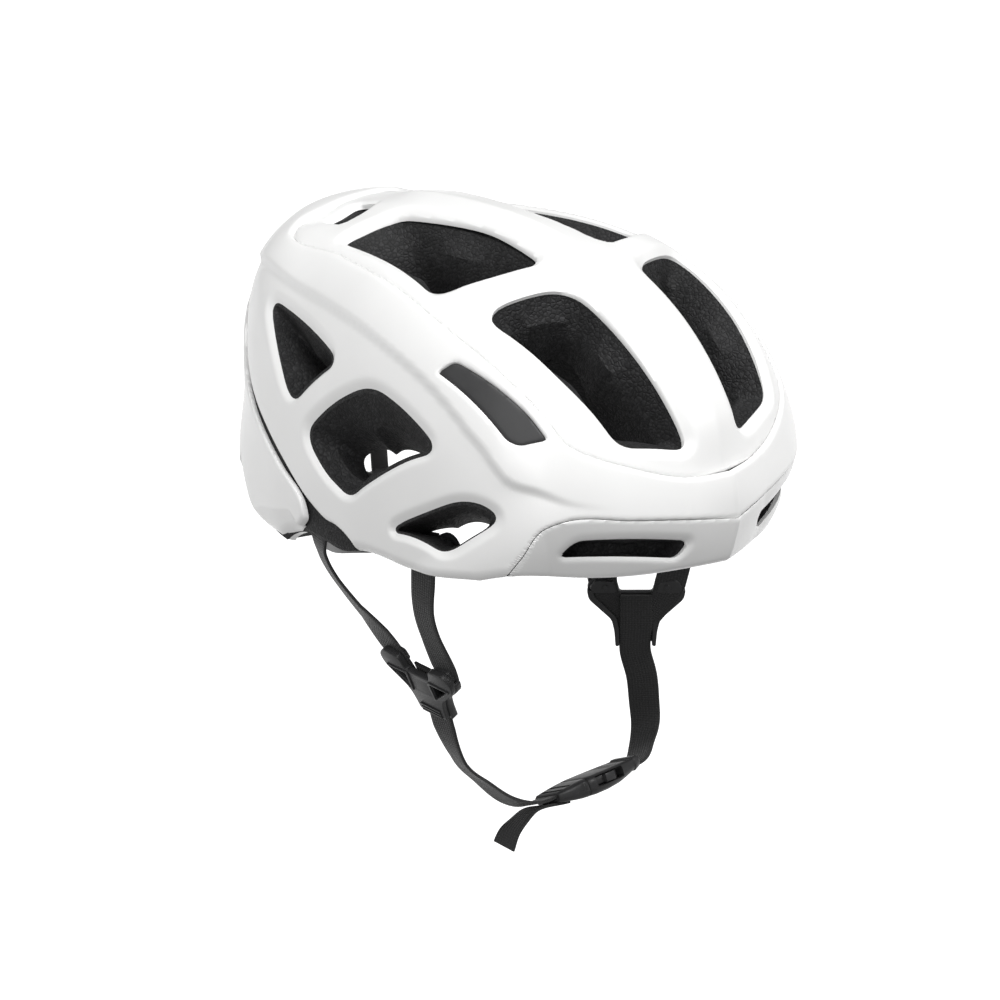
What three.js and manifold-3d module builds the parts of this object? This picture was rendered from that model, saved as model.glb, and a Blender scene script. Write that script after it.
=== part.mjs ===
// A road cycling helmet: moulded shells over a vented foam liner, webbing with dividers and a
// side-release buckle, and a dial-adjusted fit system inside.
//
// Millimetres. +Z is up and the wearer looks along -Y, so the wearer's right is -X.
// Every curved wall is described from one centre below the crown: a direction is a longitude in
// degrees (0 at the front, 90 at the crown, 180 at the back) and a latitude (0 on the middle plane,
// positive to the wearer's left), and a wall is a distance along that direction.
import * as THREE from "three";
import { mergeVertices } from "three/addons/utils/BufferGeometryUtils.js";
import Module from "manifold-3d";

const wasm = await Module();
wasm.setup();

// ---- driving dimensions ----
const CENTRE_Z = -45; // height of the centre that every wall is measured from
const HALF_WIDTH = 100; // outer half width at the ears
const CHANNEL_DEPTH = 2; // of the channels beside the middle rib, at their deepest
const CAVITY = { x: 78, y: 103, z: 113, atY: 3, atZ: -25 }; // head cavity: half axes and middle
const SKIN = 1.2; // shell thickness
const GAP = 0.3; // clearance between touching pieces
const SEAM = 0.45; // degrees: width of a shell seam
const GRID = { alongLon: 20, acrossLat: 16 }; // cells of the moulded walls
const WEB = { width: 15, thick: 1.4 }; // strap webbing
const INLAY_DEPTH = 2.4;
const PAD_THICK = 5;
const TEMPLE = { x: 72.2, y: -30, z: -12 }; // inner face of the band's eyelet, on the hinge line
const FIT = { y: 88, z: -44, halfLong: 30, halfTall: 12, dialRadius: 13 }; // nape adjuster
const RACK = { thick: 1.5, halfTall: 8, inner: -17, outer: 40, slotEnd: 14.4 };
const PINION = { teeth: 10, pitchRadius: 4 };
// Side-release buckle: where its female half starts and its line, and its tilt in degrees about X.
const BUCKLE = { x: 18, y: -18.5, z: -161, halfWide: 12, halfThick: 4.2, tilt: -25 };

// ---- curves of the outer form ----
function naturalSpline(xs, ys) {
  const n = xs.length;
  const curvature = new Array(n).fill(0);
  const work = new Array(n).fill(0);
  for (let i = 1; i < n - 1; i++) {
    const share = (xs[i] - xs[i - 1]) / (xs[i + 1] - xs[i - 1]);
    const pivot = share * curvature[i - 1] + 2;
    curvature[i] = (share - 1) / pivot;
    const turn = (ys[i + 1] - ys[i]) / (xs[i + 1] - xs[i]) - (ys[i] - ys[i - 1]) / (xs[i] - xs[i - 1]);
    work[i] = ((6 * turn) / (xs[i + 1] - xs[i - 1]) - share * work[i - 1]) / pivot;
  }
  for (let i = n - 2; i >= 0; i--) curvature[i] = curvature[i] * curvature[i + 1] + work[i];
  return (x) => {
    let k = 0;
    while (k < n - 2 && x > xs[k + 1]) k++;
    const h = xs[k + 1] - xs[k];
    const a = (xs[k + 1] - x) / h;
    const b = (x - xs[k]) / h;
    const bend = (a ** 3 - a) * curvature[k] + (b ** 3 - b) * curvature[k + 1];
    return a * ys[k] + b * ys[k + 1] + (bend * h * h) / 6;
  };
}

function straightLine(xs, ys) {
  return (x) => {
    let k = 0;
    while (k < xs.length - 2 && x > xs[k + 1]) k++;
    const t = THREE.MathUtils.clamp((x - xs[k]) / (xs[k + 1] - xs[k]), 0, 1);
    return ys[k] + t * (ys[k + 1] - ys[k]);
  };
}

// Profile of the middle plane, and how square the cross-section is, both by longitude.
const profile = naturalSpline(
  [0, 20, 40, 60, 80, 100, 120, 135, 150, 165, 180],
  [127, 142, 153, 158, 159, 163, 181, 197.5, 171, 154.5, 116],
);
const squareness = naturalSpline([0, 45, 90, 135, 180], [1.9, 3.0, 3.2, 2.2, 2.5]);
// Edges of the raised side band, as latitudes by longitude.
const bandInner = straightLine(
  [31, 34, 41, 52, 68, 80, 95, 112, 127, 131],
  [0, 12, 22, 26, 27, 27, 24, 19, 12, 1],
);

const radians = THREE.MathUtils.degToRad;
const smooth = THREE.MathUtils.smoothstep;

// The two channels beside the middle rib, which deepen towards the back.
function channelDepth(lon, lat) {
  const depth = CHANNEL_DEPTH * smooth(lon, 70, 114) * (1 - smooth(lon, 122, 126));
  const across = (Math.abs(lat) - 5) / Math.max(bandInner(lon) - 5, 1);
  return across > 0 && across < 1 ? depth * Math.sin(Math.PI * across) : 0;
}

function outerRadius(lon, lat) {
  const side = Math.sin(radians(Math.abs(lat)));
  const middle = Math.cos(radians(lat));
  const power = squareness(lon);
  const form = ((side / HALF_WIDTH) ** power + (middle / profile(lon)) ** power) ** (-1 / power);
  return form - channelDepth(lon, lat);
}

function direction(lon, lat) {
  const middle = Math.cos(radians(lat));
  return new THREE.Vector3(
    Math.sin(radians(lat)),
    -middle * Math.cos(radians(lon)),
    middle * Math.sin(radians(lon)),
  );
}

function at(lon, lat, radius) {
  return direction(lon, lat).multiplyScalar(radius).add(new THREE.Vector3(0, 0, CENTRE_Z));
}

// Distance to the ellipsoid that the head sits in.
function cavityRadius(lon, lat) {
  const d = direction(lon, lat);
  const o = new THREE.Vector3(0, -CAVITY.atY, CENTRE_Z - CAVITY.atZ);
  const scale = new THREE.Vector3(1 / CAVITY.x, 1 / CAVITY.y, 1 / CAVITY.z);
  d.multiply(scale);
  o.multiply(scale);
  const a = d.dot(d);
  const b = d.dot(o);
  return (-b + Math.sqrt(b * b - a * (o.dot(o) - 1))) / a;
}

// ---- the helmet's rim, as a warp of a plain grid ----
const rimFront = naturalSpline([0, 22, 33, 43, 50], [15.5, 18, 21, 25, 26.5]);
const rimBack = naturalSpline([0, 15, 25, 36, 47, 54], [158, 160, 163.5, 167, 168, 166]);
const rimSide = naturalSpline(
  [0, 0.03, 0.07, 0.18, 0.42, 0.6, 0.74, 0.84, 0.91, 1],
  [50, 59, 65, 70.5, 73, 73, 70, 65, 60, 54],
);
// The inner edge of the rim stands a little higher than the outer one.
const INNER_RIM = { front: 1.5, side: 0.96, back: 4.5 };

// The outer rim is 0 and the inner rim is 1.
function rimPoint(along, across, rim) {
  const lat = across * rimSide(along) * (rim ? INNER_RIM.side : 1);
  const from = rimFront(Math.abs(lat)) + rim * INNER_RIM.front;
  const to = rimBack(Math.abs(lat)) - rim * INNER_RIM.back;
  return [from + along * (to - from), lat];
}

// ---- mesh helpers ----
function geometryOf(points, triangles) {
  const geometry = new THREE.BufferGeometry();
  const flat = points.flatMap((p) => [p.x, p.y, p.z]);
  geometry.setAttribute("position", new THREE.Float32BufferAttribute(flat, 3));
  geometry.setIndex(triangles.flat());
  return geometry;
}

function solid(geometry) {
  const bare = geometry.clone();
  bare.deleteAttribute("normal");
  bare.deleteAttribute("uv");
  const merged = mergeVertices(bare, 1e-4);
  return new wasm.Manifold(
    new wasm.Mesh({
      numProp: 3,
      vertProperties: merged.attributes.position.array,
      triVerts: new Uint32Array(merged.index.array),
    }),
  );
}

function geometryFrom(manifold) {
  const mesh = manifold.getMesh();
  const geometry = new THREE.BufferGeometry();
  const position = new Float32Array(mesh.numVert * 3);
  for (let i = 0; i < mesh.numVert; i++) {
    position.set(mesh.vertProperties.subarray(i * mesh.numProp, i * mesh.numProp + 3), i * 3);
  }
  geometry.setAttribute("position", new THREE.BufferAttribute(position, 3));
  geometry.setIndex(new THREE.BufferAttribute(mesh.triVerts, 1));
  return geometry;
}

// A closed wall between two radius functions over the rim's grid, each out to the outer or inner rim.
function wall(outer, inner, outerRim = 0, innerRim = 0) {
  const { alongLon, acrossLat } = GRID;
  const points = [];
  const rows = acrossLat + 1;
  for (const [radius, rim] of [[outer, outerRim], [inner, innerRim]]) {
    for (let i = 0; i <= alongLon; i++) {
      for (let j = 0; j < rows; j++) {
        const [lon, lat] = rimPoint(i / alongLon, (2 * j) / acrossLat - 1, rim);
        points.push(at(lon, lat, radius(lon, lat)));
      }
    }
  }
  const layer = (alongLon + 1) * rows;
  const triangles = [];
  const quad = (a, b, c, d) => triangles.push([a, b, c], [a, c, d]);
  for (let i = 0; i < alongLon; i++) {
    for (let j = 0; j < acrossLat; j++) {
      const a = i * rows + j;
      quad(a, a + 1, a + 1 + rows, a + rows);
      quad(layer + a, layer + a + rows, layer + a + 1 + rows, layer + a + 1);
    }
  }
  for (let i = 0; i < alongLon; i++) {
    const low = i * rows;
    const high = low + acrossLat;
    quad(low, low + rows, layer + low + rows, layer + low);
    quad(high + rows, high, layer + high, layer + high + rows);
  }
  for (let j = 0; j < acrossLat; j++) {
    const last = alongLon * rows + j;
    quad(j + 1, j, layer + j, layer + j + 1);
    quad(last, last + 1, layer + last + 1, layer + last);
  }
  return solid(geometryOf(points, triangles));
}

// A prism whose sides run along the directions of an outline of [longitude, latitude] points.
function radialPrism(outline, near, far) {
  const flat = outline.map(([lon, lat]) => new THREE.Vector2(lon, lat));
  if (THREE.ShapeUtils.area(flat) < 0) flat.reverse();
  const n = flat.length;
  const points = [far, near].flatMap((radius) => flat.map((p) => at(p.x, p.y, radius)));
  const faces = THREE.ShapeUtils.triangulateShape(flat, []);
  const triangles = faces.map(([a, b, c]) => [a, b, c]);
  triangles.push(...faces.map(([a, b, c]) => [n + a, n + c, n + b]));
  for (let i = 0; i < n; i++) {
    const next = (i + 1) % n;
    triangles.push([i, n + i, n + next], [i, n + next, next]);
  }
  return solid(geometryOf(points, outwards(points, triangles)));
}

// Faces the same triangles outwards.
function outwards(points, triangles) {
  let volume = 0;
  for (const [a, b, c] of triangles) {
    volume += points[a].dot(new THREE.Vector3().crossVectors(points[b], points[c]));
  }
  return volume > 0 ? triangles : triangles.map(([a, b, c]) => [a, c, b]);
}

// A strip that joins rings of points, either capped at both ends or closed into a loop.
function loft(rings, loop = false) {
  const n = rings[0].length;
  const points = rings.flat();
  const triangles = [];
  for (let k = 0; k < rings.length - (loop ? 0 : 1); k++) {
    const next = ((k + 1) % rings.length) * n;
    for (let i = 0; i < n; i++) {
      const j = (i + 1) % n;
      triangles.push([k * n + i, k * n + j, next + j], [k * n + i, next + j, next + i]);
    }
  }
  const last = (rings.length - 1) * n;
  for (let i = 1; i < n - 1 && !loop; i++) {
    triangles.push([0, i + 1, i], [last, last + i, last + i + 1]);
  }
  return geometryOf(points, outwards(points, triangles));
}

// A radial slot between two edges, given as matching lists of [longitude, latitude].
function radialSlot(edgeA, edgeB, near, far, loop = false) {
  const rings = edgeA.map((a, i) => {
    const b = edgeB[i];
    return [at(...a, near), at(...a, far), at(...b, far), at(...b, near)];
  });
  return solid(loft(rings, loop));
}

// A slot of even width along a path of [longitude, latitude] points.
function seam(path, width, near, far, loop = false) {
  const n = path.length;
  const neighbour = (i) => (loop ? path[(i + n) % n] : path[THREE.MathUtils.clamp(i, 0, n - 1)]);
  const shifted = (side) =>
    path.map((p, i) => {
      const before = neighbour(i - 1);
      const after = neighbour(i + 1);
      const run = new THREE.Vector2(after[0] - before[0], after[1] - before[1]).normalize();
      return [p[0] - (run.y * side * width) / 2, p[1] + (run.x * side * width) / 2];
    });
  return radialSlot(shifted(1), shifted(-1), near, far, loop);
}

// Rounds the corners of an outline: each corner is [longitude, latitude, rounding].
function rounded(corners, steps = 2) {
  const path = new THREE.Path();
  corners.forEach(([lon, lat, rounding], i) => {
    const here = new THREE.Vector2(lon, lat);
    const towards = (other) => {
      const target = new THREE.Vector2(other[0], other[1]);
      const reach = Math.min(rounding, here.distanceTo(target) / 2 - 0.01);
      return here.clone().add(target.sub(here).setLength(reach));
    };
    const enter = towards(corners[(i + corners.length - 1) % corners.length]);
    const leave = towards(corners[(i + 1) % corners.length]);
    if (i === 0) path.moveTo(enter.x, enter.y);
    else path.lineTo(enter.x, enter.y);
    path.quadraticCurveTo(here.x, here.y, leave.x, leave.y);
  });
  return path.getPoints(steps).map((p) => [p.x, p.y]).filter(distinct);
}

function distinct([lon, lat], i, all) {
  const [otherLon, otherLat] = all[(i + all.length - 1) % all.length];
  return Math.hypot(lon - otherLon, lat - otherLat) > 0.05;
}

const mirrored = (outline) => outline.map(([lon, lat, ...rest]) => [lon, -lat, ...rest]);
const withMirror = (half) => [...half, ...mirrored(half).reverse().slice(1)];
const cutAll = (body, cutters) => cutters.reduce((rest, cutter) => rest.subtract(cutter), body);

// A box between two corners.
function box(low, high) {
  const size = high.map((h, i) => h - low[i]);
  const geometry = new THREE.BoxGeometry(...size);
  return geometry.translate(...low.map((l, i) => l + size[i] / 2));
}

// A round bar along X, Y or Z.
function bar(axis, radius, from, to, centre, sides = 20) {
  const geometry = new THREE.CylinderGeometry(radius, radius, to - from, sides);
  geometry.translate(0, (from + to) / 2, 0);
  if (axis === "x") geometry.rotateZ(-Math.PI / 2);
  if (axis === "z") geometry.rotateX(Math.PI / 2);
  return geometry.translate(...centre);
}

// ---- vents, on the wearer's left and mirrored to the right: [longitude, latitude, rounding] ----
const VENTS = {
  front_top: [[75, 23, 4], [71, 7.5, 4], [56, 7, 3], [36.5, 6, 2], [41, 18, 3], [56, 21, 3]],
  middle_top: [[114, 14, 2], [109, 7, 3], [92, 5, 4], [79.5, 6, 3], [81, 16, 3], [85, 23.5, 4]],
  rear_top: [[123.5, 10.5, 1], [121.8, 4, 1], [117.2, 4, 1], [119, 11, 1]],
  rear_side: [[128.5, 24, 2], [106.5, 36.5, 3], [125.5, 40.5, 3]],
  middle_side: [[92, 40.5, 4], [65.5, 43.5, 3], [102, 60, 6], [115.5, 55, 4], [122, 47, 4]],
  lower_side: [[67, 63, 4], [49, 44.5, 4], [39.5, 40.5, 3], [40, 55, 4]],
  brow: [[26.2, 33.5, 1.5], [28.6, 30, 2], [21.6, 8.5, 2], [18.9, 11, 1.5]],
  exhaust: [[146, 4, 2], [145.5, 14, 2], [151, 17, 2], [153.5, 12, 2], [153, 4, 2]],
};
const INLAY = [[75, 33, 1], [72, 30.5, 1], [48, 27.5, 1], [52, 34.5, 1], [64, 35, 2]];
const MOST_RADIUS = 245;
const LEAST_RADIUS = 40;

const ventCutters = Object.values(VENTS).flatMap((corners) =>
  [corners, mirrored(corners)].map((c) => radialPrism(rounded(c), LEAST_RADIUS, MOST_RADIUS)),
);

// ---- shells ----
const crownSeam = [
  [124.5, 0], [124.5, 3], [125, 7], [126.8, 10.5], [126.7, 12.5], [112, 19.5], [95, 24.5],
  [80, 27.5], [61, 27.5], [52, 26.5], [45, 25.5], [41, 22.5], [37, 17.5], [34, 12.5], [32, 7], [31, 0],
];
const browSeam = [[23, 0], [25, 8], [28.5, 20], [33, 32], [33, 35], [29, 40], [24, 46], [18, 54]];
const rearEdgeOfMain = [
  [139.5, 0], [139.5, 10], [140, 20], [142.3, 26], [142.3, 32], [140.5, 39], [138, 47],
  [133, 58], [126, 64], [118, 66.5], [109, 69.5], [98, 74], [90, 82],
];
const frontEdgeOfRear = [
  [141.5, 0], [141.5, 10], [142, 20], [144.3, 26.5], [144.2, 33], [142.8, 40], [140.5, 48],
  [137, 58], [139.5, 60.3], [144, 60.5], [150, 59.5], [156, 58], [172, 62],
];

function makeShells() {
  const skin = wall(
    (lon, lat) => outerRadius(lon, lat),
    (lon, lat) => outerRadius(lon, lat) - SKIN,
  );
  const near = LEAST_RADIUS;
  const far = MOST_RADIUS;
  const cutters = [
    ...ventCutters,
    seam(withMirror(crownSeam).slice(1), SEAM, near, far, true),
    seam(withMirror([...browSeam].reverse()), SEAM, near, far),
    radialSlot(
      withMirror([...rearEdgeOfMain].reverse()),
      withMirror([...frontEdgeOfRear].reverse()),
      near,
      far,
    ),
    radialPrism(rounded(INLAY), near, far),
    radialPrism(rounded(mirrored(INLAY)), near, far),
  ];
  const pieces = cutAll(skin, cutters)
    .decompose()
    .filter((piece) => piece.volume() > 500)
    .map((piece) => ({ piece, box: piece.boundingBox() }));
  const pick = (test) => pieces.find(({ box: b }) => test(b)).piece;
  return {
    brow_shell: pick((b) => b.max[1] < -40 && b.max[2] < 60),
    rear_shell: pick((b) => b.min[1] > 20),
    crown_shell: pick((b) => b.max[0] < 80 && b.min[1] < 0 && b.max[2] > 100),
    side_shell: pick((b) => b.max[0] > 90 && b.min[1] < -60),
  };
}

// ---- foam liner ----
const STRAP_SLOTS = {
  front: { x: 84, y: -25, low: -40, high: -8, halfLong: 9, halfThick: 2 },
  rear: { x: 83, y: 44, low: -45, high: -12, halfLong: 9, halfThick: 2 },
};
const GUIDE = { angle: 9, halfTall: 6, halfWide: 9 }; // height guide, by its angle about the temples
const HANGER_RADIUS = 126;

function templeArc(angle, radius) {
  const y = TEMPLE.y + radius * Math.cos(radians(angle));
  const z = TEMPLE.z + radius * Math.sin(radians(angle));
  return [y, z];
}

function guideBlock(grow) {
  const [y, z] = templeArc(GUIDE.angle, HANGER_RADIUS);
  const low = [-GUIDE.halfWide - grow, y - 3.4, z - GUIDE.halfTall - grow];
  const high = [GUIDE.halfWide + grow, y + 12 + grow, z + GUIDE.halfTall + grow];
  return solid(box(low, high));
}

function makeLiner() {
  const body = wall(
    (lon, lat) => outerRadius(lon, lat) - SKIN - GAP,
    (lon, lat) => cavityRadius(lon, lat),
    0,
    1,
  );
  const sides = [-1, 1];
  const slots = Object.values(STRAP_SLOTS).flatMap((s) =>
    sides.map((side) =>
      solid(
        box(
          [side * s.x - s.halfThick, s.y - s.halfLong, s.low],
          [side * s.x + s.halfThick, s.y + s.halfLong, s.high],
        ),
      ),
    ),
  );
  const seats = sides.map((side) => {
    const from = side > 0 ? 60 : -(TEMPLE.x + 2);
    const to = side > 0 ? TEMPLE.x + 2 : -60;
    return solid(bar("x", 11, from, to, [0, TEMPLE.y, TEMPLE.z], 20));
  });
  const sockets = sides.map((side) => {
    const from = side > 0 ? 70 : -82.5;
    const to = side > 0 ? 82.5 : -70;
    return solid(bar("x", 2.8, from, to, [0, TEMPLE.y, TEMPLE.z], 12));
  });
  const inlays = [INLAY, mirrored(INLAY)].map((outline) => {
    const prism = radialPrism(rounded(outline), 60, MOST_RADIUS);
    const above = wall(
      (lon, lat) => outerRadius(lon, lat) + 20,
      (lon, lat) => outerRadius(lon, lat) - INLAY_DEPTH - GAP,
    );
    return prism.intersect(above);
  });
  return cutAll(body, [...ventCutters, ...slots, ...seats, ...sockets, ...inlays, guideBlock(GAP)]);
}

// A thin piece between two depths, trimmed to an outline of corners.
function patch(corners, outer, inner, rim) {
  const sheet = wall(outer, inner, rim, rim);
  return sheet.intersect(radialPrism(rounded(corners), LEAST_RADIUS, MOST_RADIUS));
}

function shrunk(corners, by) {
  const lon = corners.reduce((sum, c) => sum + c[0], 0) / corners.length;
  const lat = corners.reduce((sum, c) => sum + c[1], 0) / corners.length;
  return corners.map((c) => {
    const away = new THREE.Vector2(c[0] - lon, c[1] - lat);
    away.setLength(away.length() - by);
    return [lon + away.x, lat + away.y, c[2]];
  });
}

const makeInlay = (corners) =>
  patch(
    shrunk(corners, 0.35),
    (lon, lat) => outerRadius(lon, lat) - 0.3,
    (lon, lat) => outerRadius(lon, lat) - INLAY_DEPTH,
    0,
  );

// ---- comfort pads, on the cavity wall ----
const PADS = {
  brow_pad: [
    ...[[30, -38, 2], [29.5, -20, 1], [30.5, 0, 1], [29.5, 20, 1], [30, 38, 2]],
    ...[[35.5, 37, 2], [36.5, 20, 1], [36, 0, 1], [36.5, -20, 1], [35.5, -37, 2]],
  ],
  crown_pad: [[46, 3.6, 2], [126, 2.6, 2], [126, -2.6, 2], [46, -3.6, 2]],
  side_pad_left: [[118, 28, 3], [80, 27, 1], [50, 27.5, 3], [52, 36, 3], [80, 38, 1], [112, 32, 3]],
};
PADS.side_pad_right = mirrored(PADS.side_pad_left);

const makePad = (corners) =>
  patch(
    corners,
    (lon, lat) => cavityRadius(lon, lat) - GAP,
    (lon, lat) => cavityRadius(lon, lat) - GAP - PAD_THICK,
    1,
  );

// ---- webbing ----
// Webbing along a curve: each point is [x, y, z], and each width direction is [x, y, z].
function webbing(route, widths, steps, width = WEB.width, thick = WEB.thick) {
  const curve = new THREE.CatmullRomCurve3(route.map((p) => new THREE.Vector3(...p)), false, "centripetal");
  const rings = [];
  for (let i = 0; i <= steps; i++) {
    const t = i / steps;
    const centre = curve.getPointAt(t);
    const along = curve.getTangentAt(t);
    const place = t * (widths.length - 1);
    const k = Math.min(Math.floor(place), widths.length - 2);
    const across = new THREE.Vector3(...widths[k]).lerp(new THREE.Vector3(...widths[k + 1]), place - k);
    across.addScaledVector(along, -across.dot(along)).normalize();
    const out = new THREE.Vector3().crossVectors(along, across);
    const corner = (a, b) =>
      centre.clone().addScaledVector(across, (a * width) / 2).addScaledVector(out, (b * thick) / 2);
    rings.push([corner(-1, -1), corner(1, -1), corner(1, 1), corner(-1, 1)]);
  }
  return solid(loft(rings));
}

// ---- strap dividers ----
// Half of the outline, from the top notch down to the bottom, in the divider's own plane.
const DIVIDER = { thick: 3.6, halfLong: 17 };
const dividerHalf = [[8, 9], [9.5, 16], [20, 17], [23.5, 12], [22, 6.5], [10, -4], [9.3, -17]];

function dividerPlate() {
  const outline = [...dividerHalf.map(([x, y]) => [-x, y]), ...[...dividerHalf].reverse()];
  const shape = new THREE.Shape(outline.map(([x, y]) => new THREE.Vector2(x, y)));
  for (const side of [-1, 1]) {
    const hole = [[8.6, 6.2], [18.2, 6.2], [8.6, -1.6]].map(([x, y]) => new THREE.Vector2(side * x, y));
    shape.holes.push(new THREE.Path(hole));
  }
  const geometry = new THREE.ExtrudeGeometry(shape, { depth: DIVIDER.thick, bevelEnabled: false });
  return geometry.translate(0, 0, -DIVIDER.thick / 2);
}

// Where each divider hangs: its middle, its downward direction and its width direction.
const DIVIDERS = {
  right: { middle: [-73, -14, -83], down: [0.45, 0.05, -0.89], across: [0, -1, -0.05] },
  left: { middle: [70, -7, -88], down: [0.02, 0.02, -1], across: [0.72, -0.69, 0] },
};

function dividerFrame({ middle, down, across }) {
  const y = new THREE.Vector3(...down).normalize().negate();
  const x = new THREE.Vector3(...across);
  x.addScaledVector(y, -x.dot(y)).normalize();
  const z = new THREE.Vector3().crossVectors(x, y);
  return new THREE.Matrix4().makeBasis(x, y, z).setPosition(...middle);
}

const onDivider = (which, x, y, z = 0) => {
  const p = new THREE.Vector3(x, y, z).applyMatrix4(dividerFrame(DIVIDERS[which]));
  return [p.x, p.y, p.z];
};

// ---- straps ----
function makeStraps() {
  const tabX = 15.5;
  const tabTop = DIVIDER.halfLong + 2.4;
  const bottom = -DIVIDER.halfLong - 0.8;
  const lengthwise = [0, -1, 0];
  const right = DIVIDERS.right.across;
  const left = DIVIDERS.left.across;
  const { y, z, tilt } = BUCKLE;
  const atBuckle = [0, -Math.cos(radians(tilt)), -Math.sin(radians(tilt))];
  // A point under the buckle: how far along it, how far under its middle and how far down from there.
  const under = (along, below, drop = 0) => [
    along,
    y + below * Math.sin(radians(tilt)),
    z - below * Math.cos(radians(tilt)) - drop,
  ];
  return {
    strap_front_right: webbing(
      [[-84, -25, -12], [-84, -25, -26], [-82.5, -25, -46], onDivider("right", tabX - 2, tabTop)],
      [lengthwise, lengthwise, [-0.1, -1, 0], [-0.1, -0.9, 0.2]],
      10,
    ),
    strap_rear_right: webbing(
      [[-83, 44, -17], [-83, 44, -30], [-80, 31, -48], onDivider("right", -tabX - 2, tabTop)],
      [lengthwise, lengthwise, [-0.5, -0.8, 0.2], [-0.55, -0.7, 0.35], [-0.3, -0.75, -0.5]],
      10,
    ),
    strap_front_left: webbing(
      [[84, -25, -12], [84, -25, -26], [84, -23, -46], onDivider("left", tabX, tabTop)],
      [lengthwise, lengthwise, [0.4, -0.9, 0], left],
      10,
    ),
    strap_rear_left: webbing(
      [[83, 44, -17], [83, 44, -30], [74, 24, -50], onDivider("left", -tabX, tabTop)],
      [lengthwise, lengthwise, [0.3, -0.8, 0.2], [0.5, -0.75, 0.2], left],
      10,
    ),
    chin_strap_right: webbing(
      [onDivider("right", 0, bottom), onDivider("right", 0, bottom - 7), [-48, -17, -130.5],
        [-28, -16.5, -149], [-14, y, z + 2.2], [-7, y, z + 0.3], [-2.8, y, z]],
      [right, [-0.15, -0.95, 0.2], [-0.1, -0.9, 0.4], atBuckle],
      16,
    ),
    chin_strap_left: webbing(
      [onDivider("left", 0, bottom), onDivider("left", 0, bottom - 7), [72, -8, -131],
        [72.5, -10, -147], [67, -16, -158], [60.5, y, z + 0.1], [56.6, y, z]],
      [left, left, [0.3, -0.92, 0.2], atBuckle],
      16,
    ),
    strap_tail: webbing(
      [under(-3, 5.2), under(-12, 5.6), under(-21, 6, 2.6), under(-29, 4, 10)],
      [atBuckle, atBuckle],
      8,
    ),
  };
}

// ---- buckle ----
const MALE = { from: -2, to: 17.6, halfWide: 11, halfThick: 3.2 };
const PRONG = { pivotX: 20.2, y: 6.6, radius: 1.8, tip: 38 };

function makeBuckle() {
  const { x, y, z, halfWide, halfThick, tilt } = BUCKLE;
  const block = (x0, x1, y0, y1, z0, z1) => solid(box([x0, y + y0, z + z0], [x1, y + y1, z + z1]));
  const socket = block(x - 1, 46, -9.8, 9.8, -2.5, 2.5);
  const sideGates = [-1, 1].map((side) => {
    const [from, to] = side > 0 ? [9, 13] : [-13, -9];
    return block(x - 1, 41, from, to, -2.5, 2.5);
  });
  const barSlot = block(50.5, 53, -8.3, 8.3, -6, 6);
  const female = cutAll(block(x, 56, -halfWide, halfWide, -halfThick, halfThick), [
    socket,
    ...sideGates,
    barSlot,
  ]);
  const slots = [1.2, 7.6].map((from) => block(from, from + 2.6, -8.3, 8.3, -6, 6));
  const body = block(MALE.from, MALE.to, -MALE.halfWide, MALE.halfWide, -MALE.halfThick, MALE.halfThick);
  const tongue = block(MALE.to - 1, 36, -2.2, 2.2, -2.1, 2.1);
  const parts = { buckle_female: female, buckle_male: cutAll(body, slots).add(tongue) };
  for (const [name, side] of [["prong_left", -1], ["prong_right", 1]]) {
    const points = [
      [PRONG.pivotX, PRONG.y - 1.5], [31, 6.4], [PRONG.tip, 7.6], [PRONG.tip, 8.6], [34.5, 11.4],
      [29, 11.4], [29, 8.9], [PRONG.pivotX, PRONG.y + 1.6],
    ];
    const shape = new THREE.Shape(points.map(([px, py]) => new THREE.Vector2(px, side * py)));
    const arm = new THREE.ExtrudeGeometry(shape, { depth: 4, bevelEnabled: false }).translate(0, y, z - 2);
    const root = bar("z", PRONG.radius, -2, 2, [PRONG.pivotX, y + side * PRONG.y, z], 12);
    parts[name] = solid(arm).add(solid(root));
  }
  for (const [name, shape] of Object.entries(parts)) {
    parts[name] = shape.translate([0, -y, -z]).rotate([tilt, 0, 0]).translate([0, y, z]);
  }
  return parts;
}

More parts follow.
